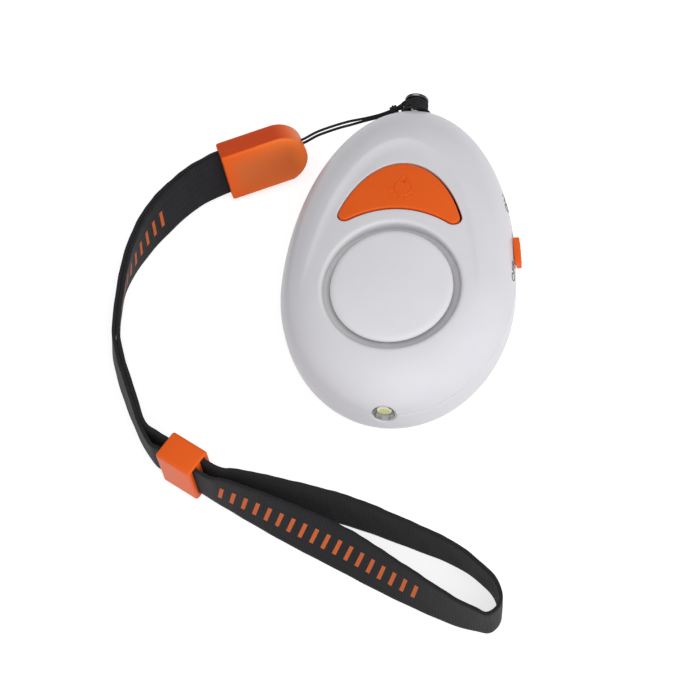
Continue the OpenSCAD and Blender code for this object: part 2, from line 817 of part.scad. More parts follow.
module strap_clasp() {
    color(orange)
    translate(clasp_at) rotate([-clasp_lean, 0, clasp_turn])
    difference() {
        rotate([90, 0, 0]) translate([0, 0, -clasp_t]) linear_extrude(height = clasp_t) {
            square([clasp_l - end_r, clasp_h]);
            intersection() {
                translate([clasp_l - end_r, clasp_h - end_r]) circle(r = end_r);
                translate([clasp_l - end_r, 0]) square([end_r, clasp_h]);
            }
        }
        translate([-1, clasp_t / 2 - 2 * twin_off, (clasp_h - strap_w) / 2 - 0.15])
            cube([mouth_l + 1, 4 * twin_off, strap_w + 0.3]);
        translate([clasp_l - cord_in, clasp_t / 2, clasp_h / 2 + cord_lift]) rotate([0, 90, 0])
            cylinder(r = strand_off + cord_d / 2 + 0.1, h = cord_in + 1);
    }
}

module wrist_strap() {
    color(black) band(smooth(strap_path, 3), strap_w, strap_t);
}

module strap_slider() {
    color(orange)
    translate([slider_at[0], slider_at[1], 0]) rotate([0, 0, slider_turn])
    difference() {
        translate([-slider_l / 2, -slider_t / 2, 0]) cube([slider_l, slider_t, slider_h]);
        for (s = [-1, 1]) {
            translate([-slider_l, s * slot_off - slot_t / 2, slider_wall - 0.2])
                cube([2 * slider_l, slot_t, strap_w + 0.4]);
        }
    }
}

front_shell();
rear_shell();
battery_cover();
battery_cover_screw();
case_screws();
sounder_cover();
sounder_seat();
sounder_plate();
sounder_ceramic();
sounder_contacts();
circuit_board();
board_screws();
light_switch();
light_plunger();
light_button();
slide_switch();
slide_knob();
torch_reflector();
torch_lamp();
lamp_leads();
button_cells();
battery_contacts();
battery_link();
control_chip();
boost_coil();
pin_socket();
pin_contacts();
pull_pin();
pull_cord();
cord_knot();
strap_clasp();
wrist_strap();
strap_slider();
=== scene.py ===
import math

import bmesh
import bpy
import numpy as np
from mathutils import Matrix, Vector
from mathutils.geometry import delaunay_2d_cdt


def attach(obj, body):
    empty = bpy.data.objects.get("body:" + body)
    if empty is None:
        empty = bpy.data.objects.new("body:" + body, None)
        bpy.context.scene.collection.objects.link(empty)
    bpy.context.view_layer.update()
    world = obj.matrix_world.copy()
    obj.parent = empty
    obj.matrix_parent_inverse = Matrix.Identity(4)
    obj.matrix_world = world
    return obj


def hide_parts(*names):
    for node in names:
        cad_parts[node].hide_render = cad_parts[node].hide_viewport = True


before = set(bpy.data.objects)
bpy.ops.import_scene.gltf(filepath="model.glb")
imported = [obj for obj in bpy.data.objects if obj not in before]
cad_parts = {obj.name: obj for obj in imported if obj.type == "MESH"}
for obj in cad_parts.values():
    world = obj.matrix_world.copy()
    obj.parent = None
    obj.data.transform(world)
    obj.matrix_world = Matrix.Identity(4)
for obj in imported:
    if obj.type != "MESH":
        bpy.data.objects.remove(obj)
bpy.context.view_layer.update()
mm = 0.001
scene = bpy.context.scene
scene.view_settings.view_transform = "Standard"
print("frame loaded")

# camera: the eye in millimetres and two of its axes, in the part's frame
view = {"eye": (75.6, -288.5, 532.8), "right": (0.989, 0.099, -0.108),
        "back": (0.141, -0.462, 0.875), "focalPixels": 3000.0, "imagePixels": 700.0, "sensorWidth": 36.0}


def unit(v):
    return v / np.linalg.norm(v, axis=-1, keepdims=True)


def makeCamera():
    back = unit(np.array(view["back"]))
    right = np.array(view["right"])
    right = unit(right - back * right.dot(back))
    up = np.cross(back, right)
    data = bpy.data.cameras.new("photoCamera")
    data.sensor_width = view["sensorWidth"]
    data.lens = view["sensorWidth"] * view["focalPixels"] / view["imagePixels"]
    data.clip_start, data.clip_end = 0.01, 20.0
    camera = bpy.data.objects.new("photoCamera", data)
    scene.collection.objects.link(camera)
    rows = np.eye(4)
    rows[:3, 0], rows[:3, 1], rows[:3, 2] = right, up, back
    rows[:3, 3] = np.array(view["eye"]) * mm
    camera.matrix_world = Matrix(rows.tolist())
    scene.camera = camera


makeCamera()
print("camera set")


# columns of a table of points
def columns(*parts):
    return np.stack(parts, axis=1)


upward = np.array([0.0, 0.0, 1.0])


# level directions along and across a turn about the vertical, in degrees
def turnedAxes(degrees):
    a = math.radians(degrees)
    return np.array([math.cos(a), math.sin(a), 0.0]), np.array([-math.sin(a), math.cos(a), 0.0])


# points of an oval at given angles
def arcPoints(x, y, a, b, angles):
    return columns(x + a * np.cos(angles), y + b * np.sin(angles))


# even angles once round
def roundAngles(count):
    return np.linspace(0, 2 * math.pi, count, endpoint=False)


# mesh keeping: points and faces of one piece are gathered as whole arrays
def newSkin():
    return {"points": [], "faces": [], "count": 0}


def addPoints(skin, points):
    first = skin["count"]
    skin["points"].append(points)
    skin["count"] += len(points)
    return np.arange(first, first + len(points))


def addFaces(skin, faces):
    skin["faces"].append(np.asarray(faces))


# quads between two closed rings of points with the same count
def ringQuads(a, b, flip=False):
    quads = columns(a, np.roll(a, -1), np.roll(b, -1), b)
    return quads[:, ::-1] if flip else quads


# fan from a ring to one middle point
def fanTris(ring, middle, flip=False):
    tris = columns(ring, np.roll(ring, -1), np.full(len(ring), middle))
    return tris[:, ::-1] if flip else tris


def makePiece(name, skin, body, material, replaced=(), sharp=40.0):
    mesh = bpy.data.meshes.new(name)
    points = np.concatenate(skin["points"]) * mm
    faces = [f for block in skin["faces"] for f in block.tolist()]
    mesh.from_pydata(points.tolist(), [], faces)
    mesh.validate()
    mesh.polygons.foreach_set("use_smooth", np.ones(len(mesh.polygons), bool))
    mesh.set_sharp_from_angle(angle=math.radians(sharp))
    mesh.update()
    piece = bpy.data.objects.new(name, mesh)
    scene.collection.objects.link(piece)
    mesh.materials.append(material)
    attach(piece, body)
    if replaced:
        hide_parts(*replaced)
    return piece


# rings of points added one after the other, each joined to the one before it
def growRings(skin, last, rings, flip=False):
    for ring in rings:
        ids = addPoints(skin, ring)
        addFaces(skin, ringQuads(last, ids, flip))
        last = ids
    return last


# closed rings joined one after the other; flat ends are closed by a fan to the ring's middle, else the last ring
# is joined to the first
def loftRings(skin, rings, closeEnds=True, flip=False):
    first = addPoints(skin, rings[0])
    last = growRings(skin, first, rings[1:], flip)
    if not closeEnds:
        addFaces(skin, ringQuads(last, first, flip))
        return
    for ring, ids, turn in ((rings[0], first, not flip), (rings[-1], last, flip)):
        middle = addPoints(skin, ring.mean(axis=0)[None, :])[0]
        addFaces(skin, fanTris(ids, middle, turn))


# Catmull-Rom curve through the rows of p, with k steps in each span
def smoothRoute(p, k):
    p = np.asarray(p, float)
    n = len(p) - 1
    i = np.repeat(np.arange(n), k)
    t = np.tile(np.arange(k) / k, n)[:, None]
    a, b = p[np.maximum(i - 1, 0)], p[i]
    c, d = p[i + 1], p[np.minimum(i + 2, n)]
    q = 0.5 * (2 * b + (c - a) * t + (2 * a - 5 * b + 4 * c - d) * t ** 2 + (3 * b - a - 3 * c + d) * t ** 3)
    return np.concatenate([q, p[-1:]])


# distance run along a route
def runAlong(p):
    return np.concatenate([[0], np.cumsum(np.linalg.norm(np.diff(p, axis=0), axis=1))])


# even steps along a route, measured on its first dims columns
def evenRoute(p, step, dims=3):
    run = runAlong(p[:, :dims])
    count = max(2, int(round(run[-1] / step)))
    at = np.linspace(0, run[-1], count + 1)
    return np.stack([np.interp(at, run, column) for column in p.T], axis=1), at


# frames carried along a route: each normal is the last one made square to the new direction
def carriedFrames(path, start):
    along = unit(np.gradient(path, axis=0))
    side = np.empty_like(path)
    held = np.asarray(start, float)
    for k, d in enumerate(along):
        held = held - d * held.dot(d)
        held = held / np.linalg.norm(held)
        side[k] = held
    return along, side, np.cross(along, side)


# round tube: circle of the given radius carried along a path, with a blunt cap at each end
def addTube(skin, path, radius, sides, start=(0.0, 0.0, 1.0)):
    along, side, other = carriedFrames(path, start)
    turn = roundAngles(sides)
    circle = np.cos(turn)[None, :, None] * side[:, None, :] + np.sin(turn)[None, :, None] * other[:, None, :]
    capLength, capShare = 0.4, 0.75
    rings = list(path[:, None, :] + circle * radius)
    capIn = [path[0] - along[0] * radius * capLength + circle[0] * radius * capShare]
    capOut = [path[-1] + along[-1] * radius * capLength + circle[-1] * radius * capShare]
    loftRings(skin, capIn + rings + capOut)


# colour and bump effects shared by several materials, each with plain number inputs and outputs
def newGroup(name, inputs, outputs):
    group = bpy.data.node_groups.new(name, "ShaderNodeTree")
    for label, value in inputs.items():
        socket = group.interface.new_socket(label, in_out="INPUT", socket_type="NodeSocketFloat")
        socket.default_value = value
    for label in outputs:
        group.interface.new_socket(label, in_out="OUTPUT", socket_type="NodeSocketFloat")
    return group, group.nodes.new("NodeGroupInput").outputs, group.nodes.new("NodeGroupOutput")


def node(tree, kind, **values):
    made = tree.nodes.new(kind)
    for key, value in values.items():
        setattr(made, key, value)
    return made


# inputs of a node by name or number: an output is linked to its input, a plain value is set on it
def feed(tree, taker, values):
    for label, value in values.items():
        if isinstance(value, bpy.types.NodeSocket):
            tree.links.new(value, taker.inputs[label])
        else:
            taker.inputs[label].default_value = value
    return taker.outputs


def mathNode(tree, operation, *values):
    return feed(tree, node(tree, "ShaderNodeMath", operation=operation), dict(enumerate(values)))[0]


def splitNode(tree, vector):
    return feed(tree, node(tree, "ShaderNodeSeparateXYZ"), {0: vector})


def noiseNode(tree, values):
    return feed(tree, node(tree, "ShaderNodeTexNoise"), values)["Fac"]


def rampNode(tree, factor, low, high, start=0.3, stop=0.7):
    ramp = node(tree, "ShaderNodeValToRGB")
    first, last = ramp.color_ramp.elements
    first.position, first.color = start, (*low, 1)
    last.position, last.color = stop, (*high, 1)
    return feed(tree, ramp, {"Fac": factor})["Color"]


def rangeNode(tree, factor, low, high):
    return feed(tree, node(tree, "ShaderNodeMapRange"), {"Value": factor, "To Min": low, "To Max": high})["Result"]


def bumpNode(tree, height, distance):
    values = {"Height": height, "Distance": distance, "Strength": 1.0}
    return feed(tree, node(tree, "ShaderNodeBump"), values)["Normal"]


# one colour laid over another where a mask is 1
def maskNode(tree, mask, under, over):
    return feed(tree, node(tree, "ShaderNodeMix", data_type="RGBA"), {0: mask, 6: under, 7: (*over, 1)})[2]


# moulded grain: fine spark-eroded bumps plus slow cloudy handling marks
def mouldGrainGroup():
    group, given, gout = newGroup("mouldGrain", {"Grain Size": 0.0003, "Cloud Size": 0.012}, ("Grain", "Cloud"))
    place = node(group, "ShaderNodeTexCoord").outputs["Object"]
    for label, out, detail in (("Grain Size", "Grain", 2.0), ("Cloud Size", "Cloud", 3.0)):
        scale = mathNode(group, "DIVIDE", 1.0, given[label])
        feed(group, gout, {out: noiseNode(group, {"Detail": detail, "Vector": place, "Scale": scale})})
    return group


# woven rows across a band: ribs along the UV's length, yarns across its width, streaks a few ribs wide that run
# across the band, and fuzz; each has a share in the height, and the shade follows the height
weave = {"rib": 0.4, "yarn": 0.12, "streak": 1.2, "streakLong": 900.0, "streakWide": 120.0, "fuzz": 0.6,
         "fuzzScale": 3500.0, "shade": 0.35, "shadeFrom": 0.19}


def weaveGroup():
    group, given, gout = newGroup("wovenRows", {"Rib": 0.0007, "Yarn": 0.0009, "Slant": 0.5}, ("Height", "Shade"))

    def times(a, b):
        return mathNode(group, "MULTIPLY", a, b)

    def wave(way, pitch):
        return mathNode(group, "SINE", times(mathNode(group, "DIVIDE", way, pitch), 2 * math.pi))

    lie = splitNode(group, node(group, "ShaderNodeUVMap", uv_map="lie").outputs["UV"])
    slanted = mathNode(group, "ADD", lie["X"], times(lie["Y"], given["Slant"]))
    lay = feed(group, node(group, "ShaderNodeCombineXYZ"),
               {"X": times(slanted, weave["streakLong"]), "Y": times(lie["Y"], weave["streakWide"])})[0]
    place = node(group, "ShaderNodeTexCoord").outputs["Object"]
    height = times(wave(slanted, given["Rib"]), weave["rib"])
    for part, share in ((wave(lie["Y"], given["Yarn"]), weave["yarn"]),
                        (noiseNode(group, {"Vector": lay, "Scale": 1.0}), weave["streak"]),
                        (noiseNode(group, {"Vector": place, "Scale": weave["fuzzScale"]}), weave["fuzz"])):
        height = mathNode(group, "ADD", height, times(part, share))
    shade = mathNode(group, "ADD", times(height, weave["shade"]), weave["shadeFrom"])
    feed(group, gout, {"Height": height, "Shade": shade})
    return group


mouldGrain, wovenRows = mouldGrainGroup(), weaveGroup()


def newMaterial(name):
    material = bpy.data.materials.new(name)
    material.use_nodes = True
    tree = material.node_tree
    return material, tree, tree.nodes["Principled BSDF"]


# moulded plastic or metal: two close colours, roughness between two values, fine bump
def mouldedMaterial(name, low, high, rough, grainSize, bump, cloudSize=0.012, **sockets):
    material, tree, shader = newMaterial(name)
    grain = feed(tree, node(tree, "ShaderNodeGroup", node_tree=mouldGrain),
                 {"Grain Size": grainSize, "Cloud Size": cloudSize})
    feed(tree, shader, {"Base Color": rampNode(tree, grain["Cloud"], low, high),
                        "Roughness": rangeNode(tree, grain["Cloud"], *rough),
                        "Normal": bumpNode(tree, grain["Grain"], bump)})
    feed(tree, shader, {label.replace("_", " "): value for label, value in sockets.items()})
    return material


# another base colour in a material that is made
def recolour(material, colour):
    feed(material.node_tree, material.node_tree.nodes["Principled BSDF"], {"Base Color": colour})
    return material


shellWhite = mouldedMaterial("shellWhite", (0.70, 0.69, 0.73), (0.73, 0.72, 0.76), (0.32, 0.40), 0.0011, 0.0000025,
                             Coat_Weight=0.1, Coat_Roughness=0.12, Specular_IOR_Level=0.3)
# groove grey: painted shade for the recess round the sounder disc
grooveShadeGrey = mouldedMaterial("grooveShadeGrey", (0.61, 0.60, 0.61), (0.65, 0.64, 0.65), (0.5, 0.6), 0.0011, 0.0000025)
discWhite = mouldedMaterial("discWhite", (0.74, 0.735, 0.775), (0.77, 0.765, 0.805), (0.42, 0.5), 0.00022, 0.000009)
orangeMould = mouldedMaterial("orangeMould", (0.82, 0.110, 0.005), (0.86, 0.120, 0.007), (0.38, 0.48),
                              0.00025, 0.000006, Specular_IOR_Level=0.3)
steelPlain = mouldedMaterial("steelPlain", (0.50, 0.50, 0.51), (0.60, 0.60, 0.61), (0.25, 0.4), 0.0003, 0.000004,
                             cloudSize=0.004, Metallic=1.0)
brassPlain = mouldedMaterial("brassPlain", (0.66, 0.46, 0.17), (0.72, 0.52, 0.22), (0.25, 0.4), 0.0003, 0.000004,
                             cloudSize=0.005, Metallic=1.0)
copperWire = mouldedMaterial("copperWire", (0.45, 0.16, 0.07), (0.55, 0.22, 0.1), (0.3, 0.4), 0.0002, 0.00002,
                             cloudSize=0.003, Metallic=1.0)
blackMould = mouldedMaterial("blackMould", (0.012, 0.012, 0.013), (0.022, 0.022, 0.024), (0.4, 0.55), 0.0003, 0.000006)
softBlack = mouldedMaterial("softBlack", (0.014, 0.014, 0.014), (0.024, 0.024, 0.024), (0.75, 0.9), 0.0004, 0.00001)
cupSilver = mouldedMaterial("cupSilver", (0.56, 0.56, 0.57), (0.64, 0.64, 0.65), (0.2, 0.3), 0.0008, 0.000002,
                            cloudSize=0.003, Metallic=1.0)
creamMould = mouldedMaterial("creamMould", (0.66, 0.62, 0.44), (0.72, 0.68, 0.5), (0.35, 0.45), 0.0003, 0.000005)
ceramicPale = mouldedMaterial("ceramicPale", (0.68, 0.66, 0.58), (0.75, 0.73, 0.65), (0.4, 0.55), 0.0002, 0.000006)
boardGreen = mouldedMaterial("boardGreen", (0.012, 0.085, 0.035), (0.02, 0.12, 0.05), (0.25, 0.4), 0.0006, 0.000006)


# bright plating with painted reflections: dark, with a bright streak painted where the surface looks upwards
def platedMaterial():
    grey = (0.5, 0.5, 0.5)
    material = mouldedMaterial("chromePaintedGlint", grey, grey, (0.1, 0.2), 0.0008, 0.000002, cloudSize=0.003, Metallic=1.0)
    tree = material.node_tree
    rise = splitNode(tree, node(tree, "ShaderNodeTexCoord").outputs["Normal"])["Z"]
    return recolour(material, rampNode(tree, rise, (0.10, 0.10, 0.105), (0.74, 0.74, 0.76), 0.93, 0.985))


chromePaintedGlint = platedMaterial()
print("materials made")

# cord: doubled from the clasp to the pin and hitched round the pin's neck
pin = {"z": 13.4, "neckY": 42.9, "neckRadius": 1.9, "seatY": 41.3, "collarRadius": 2.45, "collarThick": 0.4,
       "neckLength": 2.4, "headRadius": 2.45, "headThick": 1.1, "headBevel": (0.6, 0.45), "shaftRadius": 1.25,
       "shaftLength": 12.0, "socketRadius": 2.15, "socketLength": 7.0, "edge": 0.22, "boreGap": 0.05,
       "countersink": 0.3}
cord = {"diameter": 0.55, "apart": 0.475, "near": 0.305, "lift": 1.0, "wrapGap": 0.05, "turns": 1.5, "turnHalf": 0.75,
        "inClasp": 3.0, "sides": 12, "step": 0.1,
        "freePath": ((-21, -4, -5.1), (-18.5, -3.4, -4.2), (-16, -2.9, -3.4), (-13.6, -2.6, -2.6)),
        "nearPath": ((-10.3, -2.1, -1.8), (-7.3, -1.5, -1.2), (-4.5, -0.5, -0.6), (-3.2, 0.2, -0.2))}
# the clasp's top, end and core colours are painted shade, painted light and painted shade on its orange
clasp = {"lean": 20.0, "turn": 24.0, "length": 17.5, "height": 11.2, "thick": 6.0, "corner": (-37.8, 26.0),
         "edge": 0.45, "mouth": 9.0, "slotRoom": (0.15, 0.02), "endRadius": 5.72,
         "rimColour": (0.86, 0.118, 0.006), "topShadeColour": (0.68, 0.064, 0.002),
         "endLitColour": (1.0, 0.21, 0.035), "coreShadeColour": (0.72, 0.150, 0.030)}
strap = {"width": 10.0, "thick": 0.8, "twinOffset": 0.45, "step": 0.3, "edgeRound": 0.22,
         "edgeWave": 0.045, "faceWave": 0.03}
slider = {"at": (-39.5, -37.5), "turn": -30.0, "length": 8.4, "thick": 6.2, "height": 11.6, "wall": 0.8,
          "slotOffset": 1.3, "slotThick": 1.3, "slotRoom": 0.2, "edge": 0.45, "lip": 0.14}

lean = math.radians(clasp["lean"])
claspAt = np.array([*clasp["corner"], clasp["thick"] * math.sin(lean)])
claspU, claspN = turnedAxes(clasp["turn"])
claspW = upward * math.cos(lean) + claspN * math.sin(lean)
claspB = claspN * math.cos(lean) - upward * math.sin(lean)


# point in the clasp: along it, through its thickness, up its height
def claspPoint(length, thick, height):
    return claspAt + claspU * length + claspB * thick + claspW * height


neckAt = np.array([0.0, pin["neckY"], pin["z"]])
wrapRadius = pin["neckRadius"] + cord["diameter"] / 2 + cord["wrapGap"]
wrapPitch = 2 * cord["turnHalf"] / cord["turns"]


# turns round the pin's neck: angle from the underside, distance along the pin from the neck's middle
def neckTurns(angle, along, radius):
    return neckAt + columns(radius * np.sin(angle), along, -radius * np.cos(angle))


# one strand from inside the clasp to the pin's neck; side is -1 for the lower and 1 for the upper strand
def strandRoute(side):
    thick, height = clasp["thick"] / 2, clasp["height"] / 2 + cord["lift"] + side * cord["apart"]
    inside = [claspPoint(clasp["length"] + d, thick, height) for d in (-cord["inClasp"], -cord["inClasp"] / 2, 0.3)]
    free = neckAt + np.array(cord["freePath"]) + claspW * side * cord["apart"]
    near = neckAt + np.array(cord["nearPath"]) + claspW * side * cord["near"]
    last = neckAt + [-wrapRadius, 0.1 + 0.45 * side, wrapRadius * side / 2]
    return np.concatenate([inside, free, near, last[None]])


def cordRoute():
    a = np.radians(np.arange(0, 360 * cord["turns"] + 1, 30))
    wrap = neckTurns(a, wrapPitch * a / (2 * math.pi) - cord["turnHalf"], wrapRadius)
    return evenRoute(smoothRoute(np.concatenate([strandRoute(-1), wrap, strandRoute(1)[::-1]]), 8), cord["step"])


# UV in metres along a piece and round it, for the woven and braided materials
def layUv(piece, long, wide):
    layer = piece.data.uv_layers.new(name="lie")
    corner = np.empty(len(piece.data.loops), np.int32)
    piece.data.loops.foreach_get("vertex_index", corner)
    layer.uv.foreach_set("vector", columns(long, wide)[corner].astype(np.float32).ravel() * mm)


# rows for layUv of a tube with its caps: distance along it and round it
def tubeLie(run, sides, radius):
    long = np.repeat(np.concatenate([[0], run, run[-1:]]), sides)
    wide = np.tile(np.arange(sides) / sides * 2 * math.pi * radius, len(run) + 2)
    return columns(np.append(long, [0, run[-1]]), np.append(wide, [0, 0]))


def wovenMaterial(name, low, high, rib, yarn, slant, bump):
    material, tree, shader = newMaterial(name)
    rows = feed(tree, node(tree, "ShaderNodeGroup", node_tree=wovenRows), {"Rib": rib, "Yarn": yarn, "Slant": slant})
    feed(tree, shader, {"Base Color": rampNode(tree, rows["Shade"], low, high, 0.15, 0.85),
                        "Roughness": rangeNode(tree, rows["Shade"], 0.9, 0.7),
                        "Normal": bumpNode(tree, rows["Height"], bump),
                        "Sheen Weight": 0.07, "Sheen Roughness": 0.5, "Specular IOR Level": 0.2})
    return material


cordBraid = wovenMaterial("cordBraid", (0.006, 0.006, 0.007), (0.03, 0.03, 0.034), 0.00055, 0.0006, 0.9, 0.00004)


def makeCord():
    path, run = cordRoute()
    skin = newSkin()
    addTube(skin, path, cord["diameter"] / 2, cord["sides"])
    piece = makePiece("pullCord", skin, "pin", cordBraid, ["pull_cord"])
    layUv(piece, *tubeLie(run, cord["sides"], cord["diameter"] / 2).T)
    return piece, path, run[-1]


# knot beside the pin: a short coil round both strands with one turn crossing over it, and the hitch's inner turns
knot = {"at": (-4.5, 42.4, 12.8), "axis": (0.907, 0.366, 0.208), "reach": 0.58, "turns": 2.2, "radius": 0.8,
        "cordRadius": 0.275, "sides": 10, "fillFrom": -234.0, "fillTo": 414.0, "lowTurn": -1.6, "lowRadius": 2.76,
        "fan": ((-2.1, 0.4, 0.55), (-2.1, 0.0, -0.25)), "wobble": 0.08, "crossReach": 0.45, "lowRise": 0.0005,
        "caseGap": 0.04}


def makeKnot():
    at, axis = np.array(knot["at"]), unit(np.array(knot["axis"]))
    a1 = unit(np.cross(axis, [0, 1, 0]))
    a2 = np.cross(axis, a1)
    s = np.linspace(-1, 1, 120)
    a = s * math.pi * knot["turns"]
    lift = knot["radius"] * (1 + knot["wobble"] * np.cos(a * 0.5 + 0.6))
    coil = (at + (axis * (knot["reach"] * s)[:, None])
            + (a1 * np.cos(a)[:, None] + a2 * np.sin(a)[:, None]) * lift[:, None])
    over = np.linspace(0, 1, 40)[:, None]
    reach = knot["crossReach"]
    cross = at + axis * (0.5 - over) + a2 * reach * np.cos(over * 3.0) - a1 * (reach + 0.5 * np.sin(over * math.pi))
    a = np.radians(np.linspace(knot["fillFrom"], knot["fillTo"], 160))
    fill = neckTurns(a, wrapPitch * (0.5 + a / (2 * math.pi)) - cord["turnHalf"], wrapRadius)
    a = np.radians(np.linspace(-150, 190, 90))
    # the lowest turn lies on the nose of the case
    low = neckTurns(a, knot["lowTurn"] + knot["lowRise"] * np.degrees(a), knot["lowRadius"])
    noseY = egg["noseLength"] / halfW * np.sqrt(rimRadius(low[:, 2]) ** 2 - low[:, 0] ** 2)
    low[:, 1] = np.maximum(low[:, 1], noseY + knot["cordRadius"] + knot["caseGap"])
    # two more strands between the knot and the hitch, so that they spread like a fan
    s = np.linspace(0, 1, 12)[:, None]
    fan = [at * (1 - s) + (neckAt + end) * s for end in np.array(knot["fan"])]
    skin, lies, sides = newSkin(), [], knot["sides"]
    for path, start in ((coil, axis), (cross, a2), (fill, (0, 1, 0)), (low, (0, 1, 0)), (fan[0], a1), (fan[1], a1)):
        addTube(skin, path, knot["cordRadius"], sides, start=start)
        lies.append(tubeLie(runAlong(path), sides, knot["cordRadius"]))
    piece = makePiece("cordKnot", skin, "pin", cordBraid, ["cord_knot"])
    layUv(piece, *np.concatenate(lies).T)
    return piece


# rounded rectangle in its own two axes, the same number of points whatever its size
def roundRect(halfA, halfB, radius, arc=5, edge=4):
    corners = []
    for k, (sa, sb) in enumerate(((1, 1), (-1, 1), (-1, -1), (1, -1))):
        t = np.linspace(0, math.pi / 2, arc + 1) + k * math.pi / 2
        corners.append(arcPoints(sa * (halfA - radius), sb * (halfB - radius), radius, radius, t))
    runs = []
    for k in range(4):
        a, b = corners[k][-1], corners[(k + 1) % 4][0]
        s = np.linspace(0, 1, edge + 2)[1:-1, None]
        runs += [corners[k], a + (b - a) * s]
    return np.concatenate(runs)


# clasp plastic with painted light and shade: painted shade darkens the top, painted light brightens it towards the
# round end, and painted shade dulls the middle of the broad faces
def claspMaterial():
    rim = clasp["rimColour"]
    material = mouldedMaterial("claspMould", rim, rim, (0.42, 0.52), 0.00025, 0.000006, Specular_IOR_Level=0.3)
    tree = material.node_tree
    core, lit = (node(tree, "ShaderNodeAttribute", attribute_name=name).outputs["Fac"] for name in ("core", "lit"))
    colour = rampNode(tree, lit, clasp["topShadeColour"], clasp["endLitColour"], 0.0, 1.0)
    colour.node.color_ramp.elements.new(0.5).color = (*rim, 1)
    return recolour(material, maskNode(tree, core, colour, clasp["coreShadeColour"]))


# clasp: rounded rectangles carried along it, the mouth turned in at one end, a round that meets the top edge at the
# other
def makeClasp():
    halfH, halfT, edge = clasp["height"] / 2, clasp["thick"] / 2, clasp["edge"]
    corner = edge + 0.12
    slotH, slotT = strap["width"] / 2 + clasp["slotRoom"][0], 2 * strap["twinOffset"] + clasp["slotRoom"][1]
    # rows: distance along, middle height, half height, half thickness, corner radius; the slot comes first
    rows = [(6.0, 0, slotH, slotT, 0.1), (0.25, 0, slotH, slotT, 0.1), (0.0, 0, slotH + 0.12, slotT + 0.2, 0.2)]
    for a in np.radians([0, 22.5, 45, 67.5, 90]):
        inset = edge * (1 - math.sin(a))
        rows.append((edge * (1 - math.cos(a)), 0, halfH - inset, halfT - inset, max(edge - inset, 0.0) + 0.12))
    endR = clasp["endRadius"]
    flat, centre = clasp["length"] - endR, clasp["height"] - endR
    rows += [(d, 0, halfH, halfT, corner) for d in np.linspace(edge, flat, 8)[1:]]
    for a in np.sort(np.append(np.radians(np.linspace(0, 90, 31)[1:]), math.acos(centre / endR))):
        top, low = centre + endR * math.cos(a), max(centre - endR * math.cos(a), 0.0)
        h = max((top - low) / 2, 0.02)
        rows.append((flat + endR * math.sin(a), (top + low) / 2 - halfH, h, halfT, min(corner, h * 0.98)))
    rings, cores, lits = [], [], []
    for d, mid, h, t, r in rows:
        loop = roundRect(t, h, min(r, t * 0.98, h * 0.98))
        # lit: 0 is the painted shade of the top, 1 the painted light of the round end, 0.5 the plain orange
        onTop, onSide = easeStep((d - flat) / endR), 0.5 + 0.5 * easeStep(d / clasp["length"])
        lits.append(np.where(loop[:, 1] > h - 0.02, onTop, onSide))
        rim = np.minimum(h - np.abs(loop[:, 1]), min(d, clasp["length"] - d))
        # core: painted shade in the middle of the broad faces
        cores.append(easeStep(rim / 4.0) * (t == halfT))
        if d > flat:
            # the edge rounding keeps its width where the end curves away
            fall = (np.abs(loop[:, 0]) - (halfT - edge)).clip(0) / edge
            d = d - edge * (1 - np.sqrt(1 - fall.clip(0, 1) ** 2)) * (d - flat) / endR
        d = np.broadcast_to(d, len(loop))
        rings.append(claspAt + d[:, None] * claspU + (loop[:, :1] + halfT) * claspB
                     + (loop[:, 1:] + mid + halfH) * claspW)
    skin = newSkin()
    loftRings(skin, rings)
    piece = makePiece("strapClasp", skin, "pin", claspMaterial(), ["strap_clasp"], sharp=50)
    for name, values in (("core", cores), ("lit", lits)):
        layer = piece.data.attributes.new(name, "FLOAT", "POINT")
        layer.data.foreach_set("value", np.append(np.concatenate(values), [0, 1]).astype(np.float32))


# lie of the strap: x, y from the pin's neck, height of the lower edge, lean to the left of travel
def strapRoute():
    start = claspAt + claspB * clasp["thick"] / 2 + claspW * (clasp["height"] - strap["width"]) / 2
    y0 = pin["neckY"]
    twin = [(start[0] + claspU[0] * d, start[1] + claspU[1] * d - y0, start[2], -clasp["lean"])
            for d in (clasp["mouth"], clasp["mouth"] / 2, -1.5)]
    twin += [(-46.1, -18.1, 0.9, -15), (-51.5, -24.1, 0.5, -11), (-55.8, -30.6, 0.3, 0), (-58.8, -38, 0.2, 11),
             (-59.1, -46, 0.2, 12), (-58.1, -53.5, 0.2, 9), (-55.9, -60, 0.3, 8), (-52.7, -67, 0.5, 7),
             (-48.9, -73.9, 0.7, 3)]
    front = [(-31, -86.8, 0.7, 9), (-19.5, -93, 0.4, 26), (-8, -98.6, 0.3, 33), (3, -103.8, 0.2, 24),
             (14.5, -108.5, 0.2, 10), (20.5, -110, 0.2, 2)]
    fold = [(23.1, -110, 0.2, -3), (24.6, -107.4, 0.2, -5), (23.6, -103.4, 0.2, -2)]
    back = [(20.5, -100, 0.2, 0), (15, -96.5, 0.2, -2), (5.5, -93, 0.2, -6), (-7, -89, 0.2, -10),
            (-22.5, -86, 0.5, -12), (-29.5, -84.5, 0.7, -9)]
    twin = np.array(twin)
    step = np.empty_like(twin[:, :2])
    step[1:-1] = twin[2:, :2] - twin[:-2, :2]
    step[0], step[-1] = twin[1, :2] - twin[0, :2], twin[-1, :2] - twin[-2, :2]
    left = unit(step)[:, ::-1] * [-1, 1]

    def beside(offset):
        moved = twin.copy()
        moved[:, :2] += left * offset
        return moved

    su, sv = (axis[:2] for axis in turnedAxes(slider["turn"]))

    # upright in the slider, and starting to lean where it leaves on the loop's side
    def through(offset, steps, sway):
        at = np.array(slider["at"]) - [0, y0]
        return [(*(at + su * d + sv * offset), slider["wall"], sway * (d > 7)) for d in steps]

    returning = beside(strap["twinOffset"])[::-1] * [1, 1, 1, -1]
    steps = (-7, -4.6, 1, 7.6)
    out, home = through(-slider["slotOffset"], steps, 2.0), through(slider["slotOffset"], steps[::-1], -2.0)
    return np.concatenate([beside(-strap["twinOffset"]), out, front, fold, back, home, returning])


